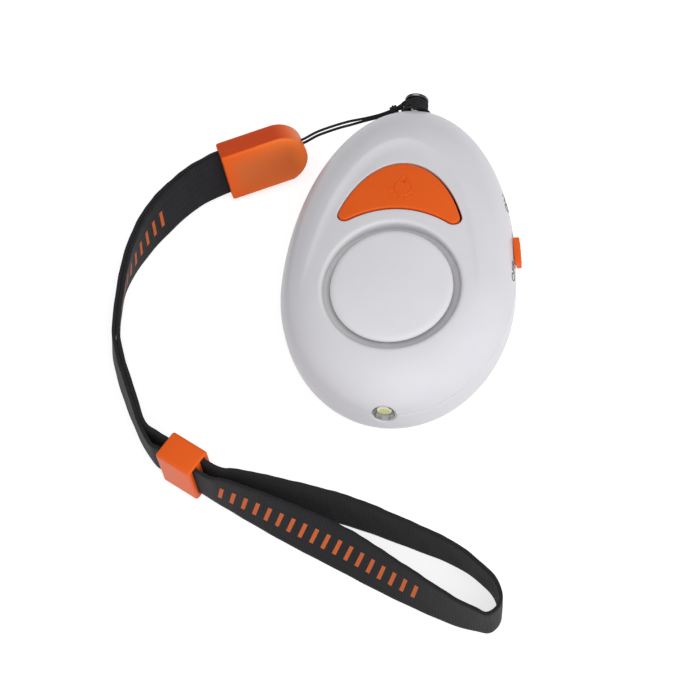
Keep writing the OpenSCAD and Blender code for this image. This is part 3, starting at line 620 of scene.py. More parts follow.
# printed row on the strap: plain slanted strokes on its right-hand face, within spans of its length; millimetres
dashes = {"colour": (0.60, 0.13, 0.035), "pitch": 2.6, "stroke": 0.85, "slant": 0.2, "low": 3.2, "high": 7.0,
          "spans": ((103.9, 149.6), (265.1, 306.5))}


def webbingMaterial():
    material = wovenMaterial("strapWebbing", (0.013, 0.013, 0.0145), (0.021, 0.021, 0.024),
                             0.00062, 0.0016, 0.0, 0.000025)
    tree = material.node_tree
    under = tree.nodes["Principled BSDF"].inputs["Base Color"].links[0].from_socket
    lie = splitNode(tree, node(tree, "ShaderNodeUVMap", uv_map="lie").outputs["UV"])

    def times(a, b):
        return mathNode(tree, "MULTIPLY", a, b)

    def between(value, low, high):
        return times(mathNode(tree, "GREATER_THAN", value, low * mm), mathNode(tree, "LESS_THAN", value, high * mm))

    slanted = mathNode(tree, "ADD", lie["X"], times(lie["Y"], dashes["slant"]))
    step = mathNode(tree, "FRACT", mathNode(tree, "DIVIDE", slanted, dashes["pitch"] * mm))
    around = 2 * strap["width"]
    mask = times(mathNode(tree, "LESS_THAN", step, dashes["stroke"] / dashes["pitch"]),
                 between(lie["Y"], around - dashes["high"], around - dashes["low"]))
    mask = times(mask, mathNode(tree, "ADD", *[between(slanted, *span) for span in dashes["spans"]]))
    return recolour(material, maskNode(tree, mask, under, dashes["colour"]))


# band: a thin rounded rectangle carried along the route, standing on its lower edge
def makeStrap():
    path, run = evenRoute(smoothRoute(strapRoute(), 10), strap["step"], dims=2)
    along = unit(np.gradient(path[:, :2], axis=0))
    left = columns(-along[:, 1], along[:, 0])
    s, c = np.sin(np.radians(path[:, 3])), np.cos(np.radians(path[:, 3]))
    foot = columns(path[:, 0], path[:, 1] + pin["neckY"], path[:, 2])
    up = columns(left[:, 0] * s, left[:, 1] * s, c)
    out = columns(left[:, 0] * c, left[:, 1] * c, -s)
    halfW = strap["width"] / 2
    loop = roundRect(strap["thick"] / 2, halfW, strap["edgeRound"], arc=3, edge=11)
    # slow uneven ripple of both edges and a faint one of the faces
    ripple = np.sin(run * 1.9 + 0.8 * np.sin(run * 0.31)) + 0.6 * np.sin(run * 0.83 + 1.0)
    ripple2 = np.sin(run * 1.6 + 0.9 * np.sin(run * 0.27) + 2.0) + 0.6 * np.sin(run * 0.71)
    upper = strap["edgeWave"] * ripple[:, None] * ((loop[:, 1] / halfW).clip(0) ** 4)[None, :]
    lower = 0.4 * strap["edgeWave"] * ripple2[:, None] * ((-loop[:, 1] / halfW).clip(0) ** 4)[None, :]
    wave = strap["faceWave"] * np.sin(run * 0.9)[:, None] * np.cos(loop[:, 1] * 0.7)[None, :]
    across = loop[None, :, 0] + wave
    height = loop[None, :, 1] + halfW + upper - lower * 0.5
    rings = foot[:, None, :] + out[:, None, :] * across[..., None] + up[:, None, :] * height[..., None]
    skin = newSkin()
    loftRings(skin, list(rings))
    piece = makePiece("wristStrap", skin, "pin", webbingMaterial(), ["wrist_strap"], sharp=60)
    # width runs up the left face from 0 to 10 mm and down the right face from 10 to 20 mm
    wide = np.where(loop[:, 0] >= 0, loop[:, 1] + halfW, 2 * strap["width"] - loop[:, 1] - halfW)
    long = np.repeat(run, len(loop))
    layUv(piece, np.append(long, [run[0], run[-1]]), np.append(np.tile(wide, len(run)), [halfW, halfW]))
    return piece, run[-1]


# flat patch between closed loops: a hexagonal net of points inside, joined by constrained triangles; points are
# tested in batches to spare memory
batch = 3000


def insideLoops(points, loops):
    inside = np.zeros(len(points), bool)
    for loop in loops:
        a, b = loop, np.roll(loop, -1, axis=0)
        for first in range(0, len(points), batch):
            p = points[first:first + batch]
            up = (a[None, :, 1] > p[:, None, 1]) != (b[None, :, 1] > p[:, None, 1])
            rise = np.where(up, b[None, :, 1] - a[None, :, 1], 1.0)
            x = a[None, :, 0] + (p[:, None, 1] - a[None, :, 1]) / rise * (b[None, :, 0] - a[None, :, 0])
            inside[first:first + batch] ^= (up & (p[:, None, 0] < x)).sum(axis=1) % 2 == 1
    return inside


def clearOf(points, loops, distance):
    rim = np.concatenate(loops)
    clear = np.ones(len(points), bool)
    for first in range(0, len(points), batch):
        p = points[first:first + batch]
        gap = (p[:, None, 0] - rim[None, :, 0]) ** 2 + (p[:, None, 1] - rim[None, :, 1]) ** 2
        clear[first:first + batch] = gap.min(axis=1) > distance ** 2
    return clear


def fillPatch(loops, spacing, line=None):
    low, high, rowStep = loops[0].min(axis=0), loops[0].max(axis=0), spacing * 0.866
    gx, gy = np.meshgrid(np.arange(low[0], high[0], spacing), np.arange(low[1], high[1], rowStep))
    gx[1::2] += spacing / 2
    net = columns(gx.ravel(), gy.ravel())
    net = net[insideLoops(net, loops)]
    room = spacing * 0.6
    net = net[clearOf(net, loops, room)]
    if line is not None:
        line = line[insideLoops(line, loops) & clearOf(line, loops, room)]
        net = np.concatenate([line, net[clearOf(net, [line], room)]])
    flat = np.concatenate(loops + [net])
    first = np.cumsum([0] + [len(loop) for loop in loops])
    rims = [np.arange(a, b) for a, b in zip(first[:-1], first[1:])]
    edges = np.concatenate([columns(rim, np.roll(rim, -1)) for rim in rims])
    made = delaunay_2d_cdt(list(map(Vector, flat.tolist())), edges.tolist(), [], 0, 1e-6, True)
    if len(made[0]) != len(flat):
        raise ValueError("patch points met each other")
    tris = np.array(made[2])
    tris = tris[insideLoops(flat[tris].mean(axis=1), loops)]
    return flat, tris, rims


# case: an egg in plan; its outline in radius and height is the same all round
egg = {"halfWidth": 23.5, "noseLength": 41.8, "tailLength": 28.6, "thick": 23.7, "edgeRadius": 10.0,
       "backRadius": 10.0, "band": 2.0, "seam": 13.4, "turnRadius": 21.5, "spacing": 0.42, "wall": 0.7,
       "seamRound": 0.15, "seamGap": 0.025, "holeRound": 0.22, "rearHoleRound": 0.15, "lipDepths": (0.5, 1.2)}
halfW, edgeR, backR, turnR = egg["halfWidth"], egg["edgeRadius"], egg["backRadius"], egg["turnRadius"]
flatR = halfW - edgeR
wideZ = backR + egg["band"]
frontH = egg["thick"] - wideZ
domeR = (halfW ** 2 - 2 * halfW * edgeR + frontH ** 2) / (2 * (frontH - edgeR))
domeZ = egg["thick"] - domeR
meetR = flatR * domeR / math.hypot(flatR, wideZ - domeZ)
# arch on the front: inside its crease the panel falls away, steep at the crease and level further in; the fall
# narrows and fades towards the lamp
arch = {"centreX": -0.4, "centreY": -14.0, "halfWidth": 18.2, "halfHeight": 44.4, "steep": 0.38, "width": 2.7,
        "fadeFrom": -9.0, "fadeOver": 10.0, "growOver": 32.0}


def caseLength(y):
    return np.where(y >= 0, egg["noseLength"], egg["tailLength"])


def eggRadius(x, y):
    return np.hypot(x, y * halfW / caseLength(y))


def easeStep(t):
    t = np.clip(t, 0, 1)
    return t * t * (3 - 2 * t)


# depth of the panel under the egg, from the signed distance to the arch's oval
def panelDepth(x, y):
    a, b = arch["halfWidth"], arch["halfHeight"]
    u, v = x - arch["centreX"], y - arch["centreY"]
    e = np.hypot(u / a, v / b) + 1e-9
    inward = (1 - e) * e / (np.hypot(u / a ** 2, v / b ** 2) + 1e-9)
    width = arch["width"] * (0.25 + 0.75 * ((y - arch["fadeFrom"]) / arch["growOver"]).clip(0, 1))
    fade = easeStep((y - arch["fadeFrom"]) / arch["fadeOver"])
    return arch["steep"] / 2 * width * (1 - (1 - (inward / width).clip(0, 1)) ** 2) * fade


# points along the crease, so that the patch has edges on it
def creaseLine():
    line = arcPoints(arch["centreX"], arch["centreY"], arch["halfWidth"], arch["halfHeight"],
                     np.linspace(0, math.pi, 2000))
    return evenRoute(line[line[:, 1] > arch["fadeFrom"] + 1], 0.28, dims=2)[0]


# height of the front over a plan point: dome, then the rounded edge
def frontHeight(x, y):
    r = eggRadius(x, y)
    dome = domeZ + np.sqrt(domeR ** 2 - np.minimum(r, domeR * 0.9) ** 2)
    side = wideZ + np.sqrt((edgeR ** 2 - (np.maximum(r, flatR) - flatR) ** 2).clip(0))
    return np.where(r <= meetR, dome, side) - panelDepth(x, y)


# outward direction of the egg at points on it
def eggNormal(p):
    x, y, z = p.T
    s = halfW / caseLength(y)
    r = np.maximum(eggRadius(x, y), 1e-6)
    outR = np.where(z < backR, (r - flatR).clip(0), np.where(z < wideZ, 1.0, (r - flatR).clip(0)))
    outZ = np.where(z < backR, z - backR, np.where(z < wideZ, 0.0, z - wideZ))
    dome = (z > wideZ) & (r < meetR)
    outR, outZ = np.where(dome, r, outR), np.where(dome, z - domeZ, outZ)
    return unit(columns(outR * x / r, outR * y * s * s / r, outZ))


turnAngle = math.acos((turnR - flatR) / edgeR)
backArc = backR * math.pi / 2


# radius of the egg and distance along its outline at a height, on the front or the rear shell
def rimRadius(z):
    top = flatR + np.sqrt(edgeR ** 2 - (np.maximum(z, wideZ) - wideZ) ** 2)
    low = flatR + np.sqrt(backR ** 2 - (backR - np.minimum(z, backR)) ** 2)
    return np.where(z >= wideZ, top, np.where(z >= backR, halfW, low))


def rimReach(z, front):
    if front:
        return turnR + edgeR * (turnAngle - np.arcsin((z - wideZ) / edgeR))
    low = flatR + backR * np.arccos((backR - np.minimum(z, backR)) / backR)
    band = flatR + backArc + (z - backR)
    top = flatR + backArc + egg["band"] + edgeR * np.arcsin((np.maximum(z, wideZ) - wideZ) / edgeR)
    return np.where(z >= wideZ, top, np.where(z >= backR, band, low))


# reach and angle of points in the unrolled plan, and the length of their half of the egg
def unrolled(flat):
    u, v = flat.T
    length = caseLength(v)
    return np.hypot(u, v * halfW / length), np.arctan2(v * halfW / length, u), length


# unrolled plan: inside the turn radius it is the plan itself, outside it the way down the side
def frontSkin(flat):
    reach, angle, length = unrolled(flat)
    phi = turnAngle - (reach - turnR).clip(0) / edgeR
    r = np.where(reach <= turnR, reach, flatR + edgeR * np.cos(phi))
    x, y = r * np.cos(angle), r * np.sin(angle) * length / halfW
    z = np.where(reach <= turnR, frontHeight(x, y), wideZ + edgeR * np.sin(phi))
    return columns(x, y, z)


def rearSkin(flat):
    reach, angle, length = unrolled(flat)
    psi = ((reach - flatR) / backR).clip(0, math.pi / 2)
    phi = (reach - flatR - backArc - egg["band"]).clip(0) / edgeR
    r = np.where(reach <= flatR, reach, flatR + backR * np.sin(psi) + edgeR * (np.cos(phi) - 1))
    z = (backR * (1 - np.cos(psi)) + (reach - flatR - backArc).clip(0, egg["band"])
         + edgeR * np.sin(phi))
    return columns(r * np.cos(angle), r * np.sin(angle) * length / halfW, z)


lampHole, pinHole = 2.38, 2.65
knob = {"x": 22.747, "y": 10.5, "turn": 8.301, "off": -1.5, "length": 6.0, "height": 2.6, "near": 0.16, "far": 1.1,
        "rib": 0.07, "ribPitch": 0.9, "ribHalf": 0.2, "stemFrom": -4.9, "stemTo": 0.4, "stemLength": 2.4,
        "stemHeight": 1.0, "slotLength": 5.9, "slotHeight": 1.9,
        "edge": 0.3, "sideRadius": 70.0}


# closed edge of a shell at the seam, with the halves of the lamp, pin and knob openings let into it
def rimLoop(front):
    sign = 1 if front else -1
    f = egg["holeRound"]
    base = egg["seam"] + sign * (egg["seamRound"] + egg["seamGap"])
    lift = egg["seamRound"] + egg["seamGap"]

    def roundNotch(radius, tail):
        big = radius + f
        start = math.asin(lift / big)
        a = np.linspace(start, math.pi - start, 33)
        x, z = big * np.cos(a), egg["seam"] + sign * big * np.sin(a)
        t = np.arccos(x / rimRadius(z))
        return (-t[::-1], z[::-1]) if tail else (t, z)

    along = turnedAxes(knob["turn"])[1]
    halfS, halfH = knob["slotLength"] / 2 + f, knob["slotHeight"] / 2 + f
    s = np.concatenate([np.full(4, -halfS), np.linspace(-halfS, halfS, 20)[1:-1], np.full(4, halfS)])
    h = np.concatenate([np.linspace(lift, halfH, 4), np.full(18, halfH), np.linspace(halfH, lift, 4)])
    slotT = np.arctan2((knob["y"] + s * along[1]) * halfW / egg["noseLength"], knob["x"] + s * along[0])
    slotZ = egg["seam"] + sign * h
    stops = [roundNotch(lampHole, True), (slotT, slotZ), roundNotch(pinHole, False)]
    ts, zs, at, stride = [], [], -math.pi, math.radians(0.75)
    for t, z in stops:
        run = np.linspace(at, t[0], int((t[0] - at) / stride))[1:-1]
        ts += [run, t]
        zs += [np.full(len(run), base), z]
        at = t[-1]
    run = np.linspace(at, math.pi, int((math.pi - at) / stride))[1:-1]
    t, z = np.concatenate(ts + [run]), np.concatenate(zs + [np.full(len(run), base)])
    reach = rimReach(z, front)
    v = reach * np.sin(t)
    return columns(reach * np.cos(t), v * caseLength(v) / halfW)


def circleLoop(x, y, r, count):
    return arcPoints(x, y, r, r, roundAngles(count))


def levelRing(x, y, r, z, count):
    return np.column_stack([circleLoop(x, y, r, count), np.full(count, z)])


def growLoop(loop, by):
    step = unit(np.roll(loop, -1, axis=0) - np.roll(loop, 1, axis=0))
    return loop + columns(step[:, 1], -step[:, 0]) * by


crescent = {"halfWidth": 14.15, "top": 24.1, "innerRadius": 21.0, "tipRadius": 1.45, "tipAngle": 30.9, "gap": 0.34,
            "shift": 0.12, "proud": 0.1, "floor": 19.3, "edge": 0.4, "signX": 0.45, "signY": 17.95,
            "signLine": 0.13, "wallDepths": (0.6, 1.4)}


# crescent: oval arc outside, round tips, circle arc inside, counter-clockwise
def crescentLoop():
    p = math.radians(crescent["tipAngle"])
    w, h, tip, inner = crescent["halfWidth"], crescent["top"], crescent["tipRadius"], crescent["innerRadius"]
    out = unit(np.array([math.cos(p) / w, math.sin(p) / h]))
    tipAt = np.array([w * math.cos(p), h * math.sin(p)]) - tip * out
    innerY = tipAt[1] - math.sqrt((inner + tip) ** 2 - tipAt[0] ** 2)
    lead, rest = math.atan2(out[1], out[0]), math.atan2(tipAt[1] - innerY, tipAt[0])
    oval = arcPoints(0, 0, w, h, np.linspace(p, math.pi - p, 110))
    left = arcPoints(-tipAt[0], tipAt[1], tip, tip, np.linspace(math.pi - lead, 2 * math.pi - rest, 22)[1:-1])
    arc = arcPoints(0, innerY, inner, inner, np.linspace(math.pi - rest, rest, 60))
    right = arcPoints(*tipAt, tip, tip, np.linspace(rest - math.pi, lead, 22)[1:-1])
    return np.concatenate([oval, left, arc, right])


crescentRim = crescentLoop()
sounder = {"y": -4.1, "cupRadius": 13.8, "floor": 20.4, "floorHole": 8.2, "discRadius": 12.2, "discFloor": 21.1,
           "discInset": 0.5, "discEdge": 1.2, "discDrop": 0.5, "cupEdge": 0.8, "cupFillet": 0.2, "footAt": 11.0,
           "footRadius": 0.8}


# edge of an opening: a quarter round from the skin, then a wall to each depth, along the normals or straight down
def edgeStrip(skin, rim, points, normals, hole, radius, depths, down=None, rear=False):
    points, normals = points[rim], normals[rim]
    down = normals if down is None else down
    tangent = unit(np.roll(points, -1, axis=0) - np.roll(points, 1, axis=0))
    outward = unit(np.cross(normals, tangent)) * (1 if hole != rear else -1)
    rows = [points + outward * radius * math.sin(a) - normals * radius * (1 - math.cos(a))
            for a in np.radians([22.5, 45, 67.5, 90])]
    rows += [rows[-1] - down * depth for depth in depths]
    return growRings(skin, rim, rows, hole == rear), rows[-1]


def addWallThickness(piece, thick):
    wall = piece.modifiers.new("wall", "SOLIDIFY")
    wall.thickness = thick * mm
    wall.offset = -1.0
    wall.use_rim = True


def makeFrontShell():
    f = egg["holeRound"]
    loops = [rimLoop(True), circleLoop(0, sounder["y"], sounder["cupRadius"] + sounder["cupEdge"], 220),
             growLoop(crescentRim, crescent["gap"] + f) + [crescent["shift"], 0]]
    flat, tris, rims = fillPatch(loops, egg["spacing"], creaseLine())
    points = frontSkin(flat)
    skin = newSkin()
    addPoints(skin, points)
    addFaces(skin, tris)
    normals = eggNormal(points)
    edgeStrip(skin, rims[0], points, normals, False, egg["seamRound"], egg["lipDepths"])
    cup, fillet = sounder["cupRadius"], sounder["cupFillet"]
    depth = points[rims[1]][:, 2:] - sounder["cupEdge"] - sounder["floor"] - fillet
    last, row = edgeStrip(skin, rims[1], points, normals, True, sounder["cupEdge"], (depth,), upward)
    middle, rows = np.array([0, sounder["y"], 0]), []
    for inset, z in ((0.3 * fillet, 0.3 * fillet), (fillet, 0.0), (cup - sounder["floorHole"], 0.0)):
        share = 1 - inset / cup
        rows.append((row - middle) * [share, share, 0] + middle + [0, 0, sounder["floor"] + z])
    growRings(skin, last, rows)
    edgeStrip(skin, rims[2], points, normals, True, f, crescent["wallDepths"], upward)
    piece = makePiece("frontShell", skin, "case", shellWhite, ["front_shell"], sharp=55)
    # the ring groove round the disc is painted greyer, as shade in the recess
    mesh = piece.data
    mesh.materials.append(grooveShadeGrey)
    at = np.empty(len(mesh.polygons) * 3, np.float32)
    mesh.polygons.foreach_get("center", at)
    x, y, z = at.reshape(-1, 3).T / mm
    inGroove = (np.hypot(x, y - sounder["y"]) < sounder["cupRadius"] + 0.25) & (z > wideZ)
    mesh.polygons.foreach_set("material_index", inGroove.astype(np.int32))
    addWallThickness(piece, egg["wall"])


hatch = {"halfLength": 12.35, "halfWidth": 6.35, "earY": 8.6, "earRadius": 3.15, "depth": 1.5}
caseScrews = {"spots": ((-14.5, 21.0), (14.5, 21.0), (-16.4, -11.8), (16.4, -11.8)), "radius": 2.1, "floor": 5.0,
              "seatShare": 0.6}


def hatchLoop():
    w, l, r = hatch["halfWidth"], hatch["halfLength"], hatch["earRadius"]
    a = math.asin((w - hatch["earY"]) / r)
    ear = arcPoints(0, hatch["earY"], r, r, np.linspace(a, math.pi - a, 40))
    marks = np.array([(l, w), (*ear[0],), (*ear[-1],), (-l, w), (-l, -w), (l, -w)])

    def runTo(a, b, count):
        return a + (b - a) * np.linspace(0, 1, count, endpoint=False)[:, None]

    return np.concatenate([runTo(marks[5], marks[0], 30), runTo(marks[0], marks[1], 24), ear[:-1],
                           runTo(marks[2], marks[3], 24), runTo(marks[3], marks[4], 30), runTo(marks[4], marks[5], 58)])


def makeRearShell():
    f = egg["rearHoleRound"]
    loops = [rimLoop(False), growLoop(hatchLoop(), f)]
    for x, y in caseScrews["spots"]:
        loop = circleLoop(x, y, caseScrews["radius"] + f, 48)
        r = eggRadius(*loop.T)
        reach = np.where(r <= flatR, r, flatR + backR * np.arcsin((r - flatR).clip(0) / backR))
        loops.append(loop * (reach / r)[:, None])
    flat, tris, rims = fillPatch(loops, egg["spacing"] * 1.3)
    points = rearSkin(flat)
    skin = newSkin()
    addPoints(skin, points)
    addFaces(skin, tris[:, ::-1])
    normals = eggNormal(points)
    edgeStrip(skin, rims[0], points, normals, False, egg["seamRound"], egg["lipDepths"], rear=True)
    edgeStrip(skin, rims[1], points, normals, True, f, (0.5, hatch["depth"]), -upward, True)
    for spot, rim in zip(caseScrews["spots"], rims[2:]):
        depth = caseScrews["floor"] - points[rim][:, 2:]
        last, row = edgeStrip(skin, rim, points, normals, True, f, (depth,), -upward, True)
        middle = np.array([*spot, 0])
        seat = (row - middle) * [caseScrews["seatShare"], caseScrews["seatShare"], 1] + middle
        growRings(skin, last, [seat], True)
    piece = makePiece("rearShell", skin, "case", shellWhite, ["rear_shell"], sharp=55)
    addWallThickness(piece, egg["wall"])


# sounder disc: rings round its middle that follow the front, a rounded edge, three short feet
def makeSounderDisc():
    rows, around = 36, 240
    top = sounder["discRadius"] - sounder["discEdge"]
    a = np.radians(np.linspace(0, 90, 8))[1:]
    radii = np.concatenate([np.linspace(0.4, top, rows), top + sounder["discEdge"] * np.sin(a)])
    drop = np.concatenate([np.zeros(rows), sounder["discDrop"] * (1 - np.cos(a))])
    t = roundAngles(around)
    x, y = radii[:, None] * np.cos(t), sounder["y"] + radii[:, None] * np.sin(t)
    z = frontHeight(x, y) - sounder["discInset"] - drop[:, None]
    rings = list(np.stack([x, y, z], axis=2))
    rings += [levelRing(0, sounder["y"], r, sounder["discFloor"], around)
              for r in (sounder["discRadius"], sounder["discRadius"] - 0.3, 4.0)]
    skin = newSkin()
    loftRings(skin, rings, flip=True)
    for a in np.radians([30, 150, 270]):
        x, y = sounder["footAt"] * math.cos(a), sounder["y"] + sounder["footAt"] * math.sin(a)
        loftRings(skin, [levelRing(x, y, sounder["footRadius"], z, 24)
                         for z in (sounder["floor"], sounder["discFloor"] + 0.1)])
    makePiece("sounderDisc", skin, "case", discWhite, ["sounder_cover"])


# light button: crescent patch lifted to the front, rounded edge, straight side, flat floor, raised bulb sign
def makeLightButton():
    edge = crescent["edge"]
    flat, tris, rims = fillPatch([growLoop(crescentRim, -edge)], 0.4)

    def atHeight(plan, height):
        return np.column_stack([plan, np.broadcast_to(height, len(plan))])

    skin = newSkin()
    addPoints(skin, atHeight(flat, frontHeight(*flat.T) + crescent["proud"]))
    addFaces(skin, tris)
    rows = []
    for a in np.radians([18, 36, 54, 72, 90]):
        loop = growLoop(crescentRim, -edge * (1 - math.sin(a)))
        rows.append(atHeight(loop, frontHeight(*loop.T) + crescent["proud"] - edge * (1 - math.cos(a))))
    last = growRings(skin, rims[0], rows + [atHeight(crescentRim, crescent["floor"])], True)
    under = addPoints(skin, atHeight(flat, crescent["floor"]))
    addFaces(skin, ringQuads(last, under[rims[0]], True))
    addFaces(skin, under[tris][:, ::-1])
    for route in bulbSign():
        addTube(skin, atHeight(route, frontHeight(*route.T) + crescent["proud"] + 0.02), crescent["signLine"], 8)
    makePiece("lightButton", skin, "button", orangeMould, ["light_button"])


# bulb sign as thin raised lines: glass drawn in to a neck, wire inside it, cap and rays
def bulbSign():
    glass = arcPoints(0, 0, 1.72, 1.72, np.radians(np.linspace(148, 392, 50)))
    neckL = np.array([glass[0], [-0.95, 1.55], [-0.62, 2.1], [-0.55, 2.5]])
    wire = np.array([(-0.55, 0.75), (-0.3, 1.9), (0.0, 1.15), (0.3, 1.9), (0.55, 0.75)])
    lines = [glass, smoothRoute(neckL, 6), smoothRoute(neckL * [-1, 1], 6), wire]
    lines.append(columns(np.linspace(-0.55, 0.55, 12), np.full(12, 2.75)))
    for a in np.radians([195, 225, 255, 285, 315, 345]):
        r = np.linspace(2.25, 2.85, 8)
        lines.append(columns(r * math.cos(a), r * math.sin(a)))
    return [line + [crescent["signX"], crescent["signY"]] for line in lines]


def makeKnob():
    out, along = turnedAxes(knob["turn"])
    at = np.array([knob["x"], knob["y"], egg["seam"]]) + along * knob["off"]
    skin = newSkin()

    # block whose near face can follow the side of the case: its fall with height, and its curve along the slide
    def block(near, far, halfL, halfH, middle, edge, follow=0.0):
        bevel = 0.05
        rows = [(near, halfL - bevel, halfH - bevel, edge), (near + bevel, halfL, halfH, edge)]
        for t in np.radians([0, 22.5, 45, 67.5, 90]):
            inset = edge * (1 - math.cos(t))
            rows.append((far - edge * (1 - math.sin(t)), halfL - inset, halfH - inset, max(edge - inset * 0.6, 0.04)))
        rings = []
        for d, l, h, r in rows:
            loop = roundRect(l, h, min(r, h * 0.95, l * 0.95))
            fall = rimRadius(egg["seam"] + loop[:, 1]) - halfW - loop[:, 0] ** 2 / (2 * knob["sideRadius"])
            reach = d + follow * (d < near + 0.06) * fall
            rings.append(at + out * reach[:, None] + along * (loop[:, :1] + middle) + upward * loop[:, 1:])
        loftRings(skin, rings)

    block(knob["near"], knob["far"], knob["length"] / 2, knob["height"] / 2, 0.0, knob["edge"], 1.0)
    for k in range(-2, 3):
        block(knob["far"] - 0.2, knob["far"] + knob["rib"], knob["ribHalf"], knob["height"] / 2 - 0.3,
              k * knob["ribPitch"], 0.12)
    block(knob["stemFrom"], knob["stemTo"], knob["stemLength"] / 2, knob["stemHeight"] / 2, 0.0, 0.1)
    makePiece("slideKnob", skin, "knob", orangeMould, ["slide_knob"])


# turned pieces: a profile of radius and distance spun round the line along +Y at seam height
def spinProfile(skin, profile, closed=True):
    count = 72
    profile = np.asarray(profile, float)
    t = roundAngles(count)
    rings = [columns(r * np.cos(t), np.full(count, y), pin["z"] + r * np.sin(t)) for r, y in profile]
    loftRings(skin, rings, closeEnds=closed, flip=True)
    return skin


# corner of a turned profile replaced by an arc of the given radius
def roundCorners(profile, radius, steps=5):
    profile = np.asarray(profile, float)
    rows = [profile[:1]]
    for a, b, c in zip(profile[:-2], profile[1:-1], profile[2:]):
        la, lc = np.linalg.norm(a - b), np.linalg.norm(c - b)
        r = min(radius, 0.45 * la, 0.45 * lc)
        p, q = b + (a - b) / la * r, b + (c - b) / lc * r
        s = np.linspace(0, 1, steps)[:, None]
        rows.append((1 - s) ** 2 * p + 2 * s * (1 - s) * b + s ** 2 * q)
    rows.append(profile[-1:])
    return np.concatenate(rows)


def makePin():
    seat, r, tip = pin["seatY"], pin["shaftRadius"], 0.05
    neck0 = seat + pin["collarThick"] + 0.05
    neck1 = seat + pin["collarThick"] + pin["neckLength"]
    end, bevel = neck1 + pin["headThick"], pin["headBevel"]
    profile = [(tip, seat - pin["shaftLength"]), (r, seat - pin["shaftLength"]), (r, neck0),
               (pin["neckRadius"], neck0), (pin["neckRadius"], neck1), (pin["headRadius"], neck1),
               (pin["headRadius"], end - bevel[1]), (pin["headRadius"] - bevel[0], end - 0.05), (tip, end)]
    skin = spinProfile(newSkin(), roundCorners(profile, pin["edge"]))
    makePiece("pullPin", skin, "pin", chromePaintedGlint, ["pull_pin"], sharp=50)


def makeSocket():
    seat, bore = pin["seatY"], pin["shaftRadius"] + pin["boreGap"]
    back, front, sink = seat - pin["socketLength"], seat + pin["collarThick"], pin["countersink"]
    profile = [(bore, back), (pin["socketRadius"], back), (pin["socketRadius"], seat), (pin["collarRadius"], seat),
               (pin["collarRadius"], front), (bore + sink, front), (bore, front - sink)]
    skin = spinProfile(newSkin(), roundCorners(profile, 0.16), closed=False)
    makePiece("pinSocket", skin, "case", chromePaintedGlint, ["pin_socket"], sharp=50)


torch = {"end": -28.6, "barrel": 2.36, "flange": 3.2, "length": 5.0, "flangeBack": 3.6, "mouth": 2.26, "throat": 1.6,
         "cupDepth": 2.6, "lampRadius": 1.35, "lampHead": 1.5, "lampBack": 1.05, "headDepth": 0.9, "lampEnd": 5.6,
         "facets": 10, "lip": 0.25, "shellGap": 0.15, "lensBulge": 0.22}


# lamp face: yellow middle and a paler ring, by the distance from the lamp's axis; the faint glow in the same colours is
# painted light, as the lamp is not lit
def lampMaterial():
    material, tree, shader = newMaterial("lampPhosphor")
    at = splitNode(tree, node(tree, "ShaderNodeTexCoord").outputs["Object"])
    up = mathNode(tree, "SUBTRACT", at["Z"], pin["z"] * mm)
    square = mathNode(tree, "ADD", mathNode(tree, "MULTIPLY", at["X"], at["X"]), mathNode(tree, "MULTIPLY", up, up))
    share = mathNode(tree, "DIVIDE", mathNode(tree, "SQRT", square), torch["lampHead"] * mm)
    colour = rampNode(tree, share, (0.56, 0.57, 0.22), (0.86, 0.84, 0.68), 0.68, 0.80)
    feed(tree, shader, {"Base Color": colour, "Emission Color": colour, "Roughness": 0.35, "Emission Strength": 0.15})
    return material


# cup with flat facets: each ring of the cup is drawn in towards a polygon, and none stands out of the shell
def makeReflector():
    e, count = torch["end"], torch["facets"] * 8
    mouth = e + torch["lip"]
    bore = torch["lampRadius"] + 0.02
    s = np.linspace(0, 1, 10)
    cup = columns(torch["mouth"] + (torch["throat"] - torch["mouth"]) * s ** 1.25,
                  mouth + (torch["cupDepth"] - torch["lip"]) * s)
    profile = np.concatenate([cup, [(bore, e + torch["cupDepth"]), (bore, e + torch["length"]),
                                    (torch["flange"], e + torch["length"]), (torch["flange"], e + torch["flangeBack"]),
                                    (torch["barrel"], e + torch["flangeBack"]), (torch["barrel"], mouth + 0.08),
                                    (torch["barrel"] - 0.06, mouth)]])
    t = roundAngles(count)
    half = math.pi / torch["facets"]
    drawn = math.cos(half) / np.cos(t % (2 * half) - half)
    rings = []
    for k, (r, y) in enumerate(profile):
        r = r * drawn if k < len(cup) else np.full(count, r)
        x, z = r * np.cos(t), pin["z"] + r * np.sin(t)
        shellY = -egg["tailLength"] / halfW * np.sqrt(rimRadius(z) ** 2 - x ** 2)
        rings.append(columns(x, np.maximum(y, shellY + torch["shellGap"]), z))
    skin = newSkin()
    loftRings(skin, rings, closeEnds=False)
    makePiece("torchReflector", skin, "case", cupSilver, ["torch_reflector"], sharp=20)


def makeLamp():
    e, r, head = torch["end"], torch["lampRadius"], torch["lampHead"]
    front = e + torch["lampBack"]
    a = np.radians(np.linspace(0, 90, 9))
    lens = columns((head - 0.05) * np.sin(a) + 0.02, front + torch["lensBulge"] * (1 - np.cos(a)))
    back, end = front + torch["headDepth"], e + torch["lampEnd"]
    profile = np.concatenate([lens, [(head, front + 0.4), (head, back), (r, back), (r, end), (0.05, end)]])
    skin = spinProfile(newSkin(), profile)
    makePiece("torchLamp", skin, "case", lampMaterial(), ["torch_lamp"], sharp=50)


# words beside the slide switch: text made a thin solid, then laid on the side of the case, read towards the nose
words = {"starts": {"ON": 17.7, "OFF": 1.9}, "size": 2.45, "foot": 13.75, "proud": 0.06, "sunk": 0.06}


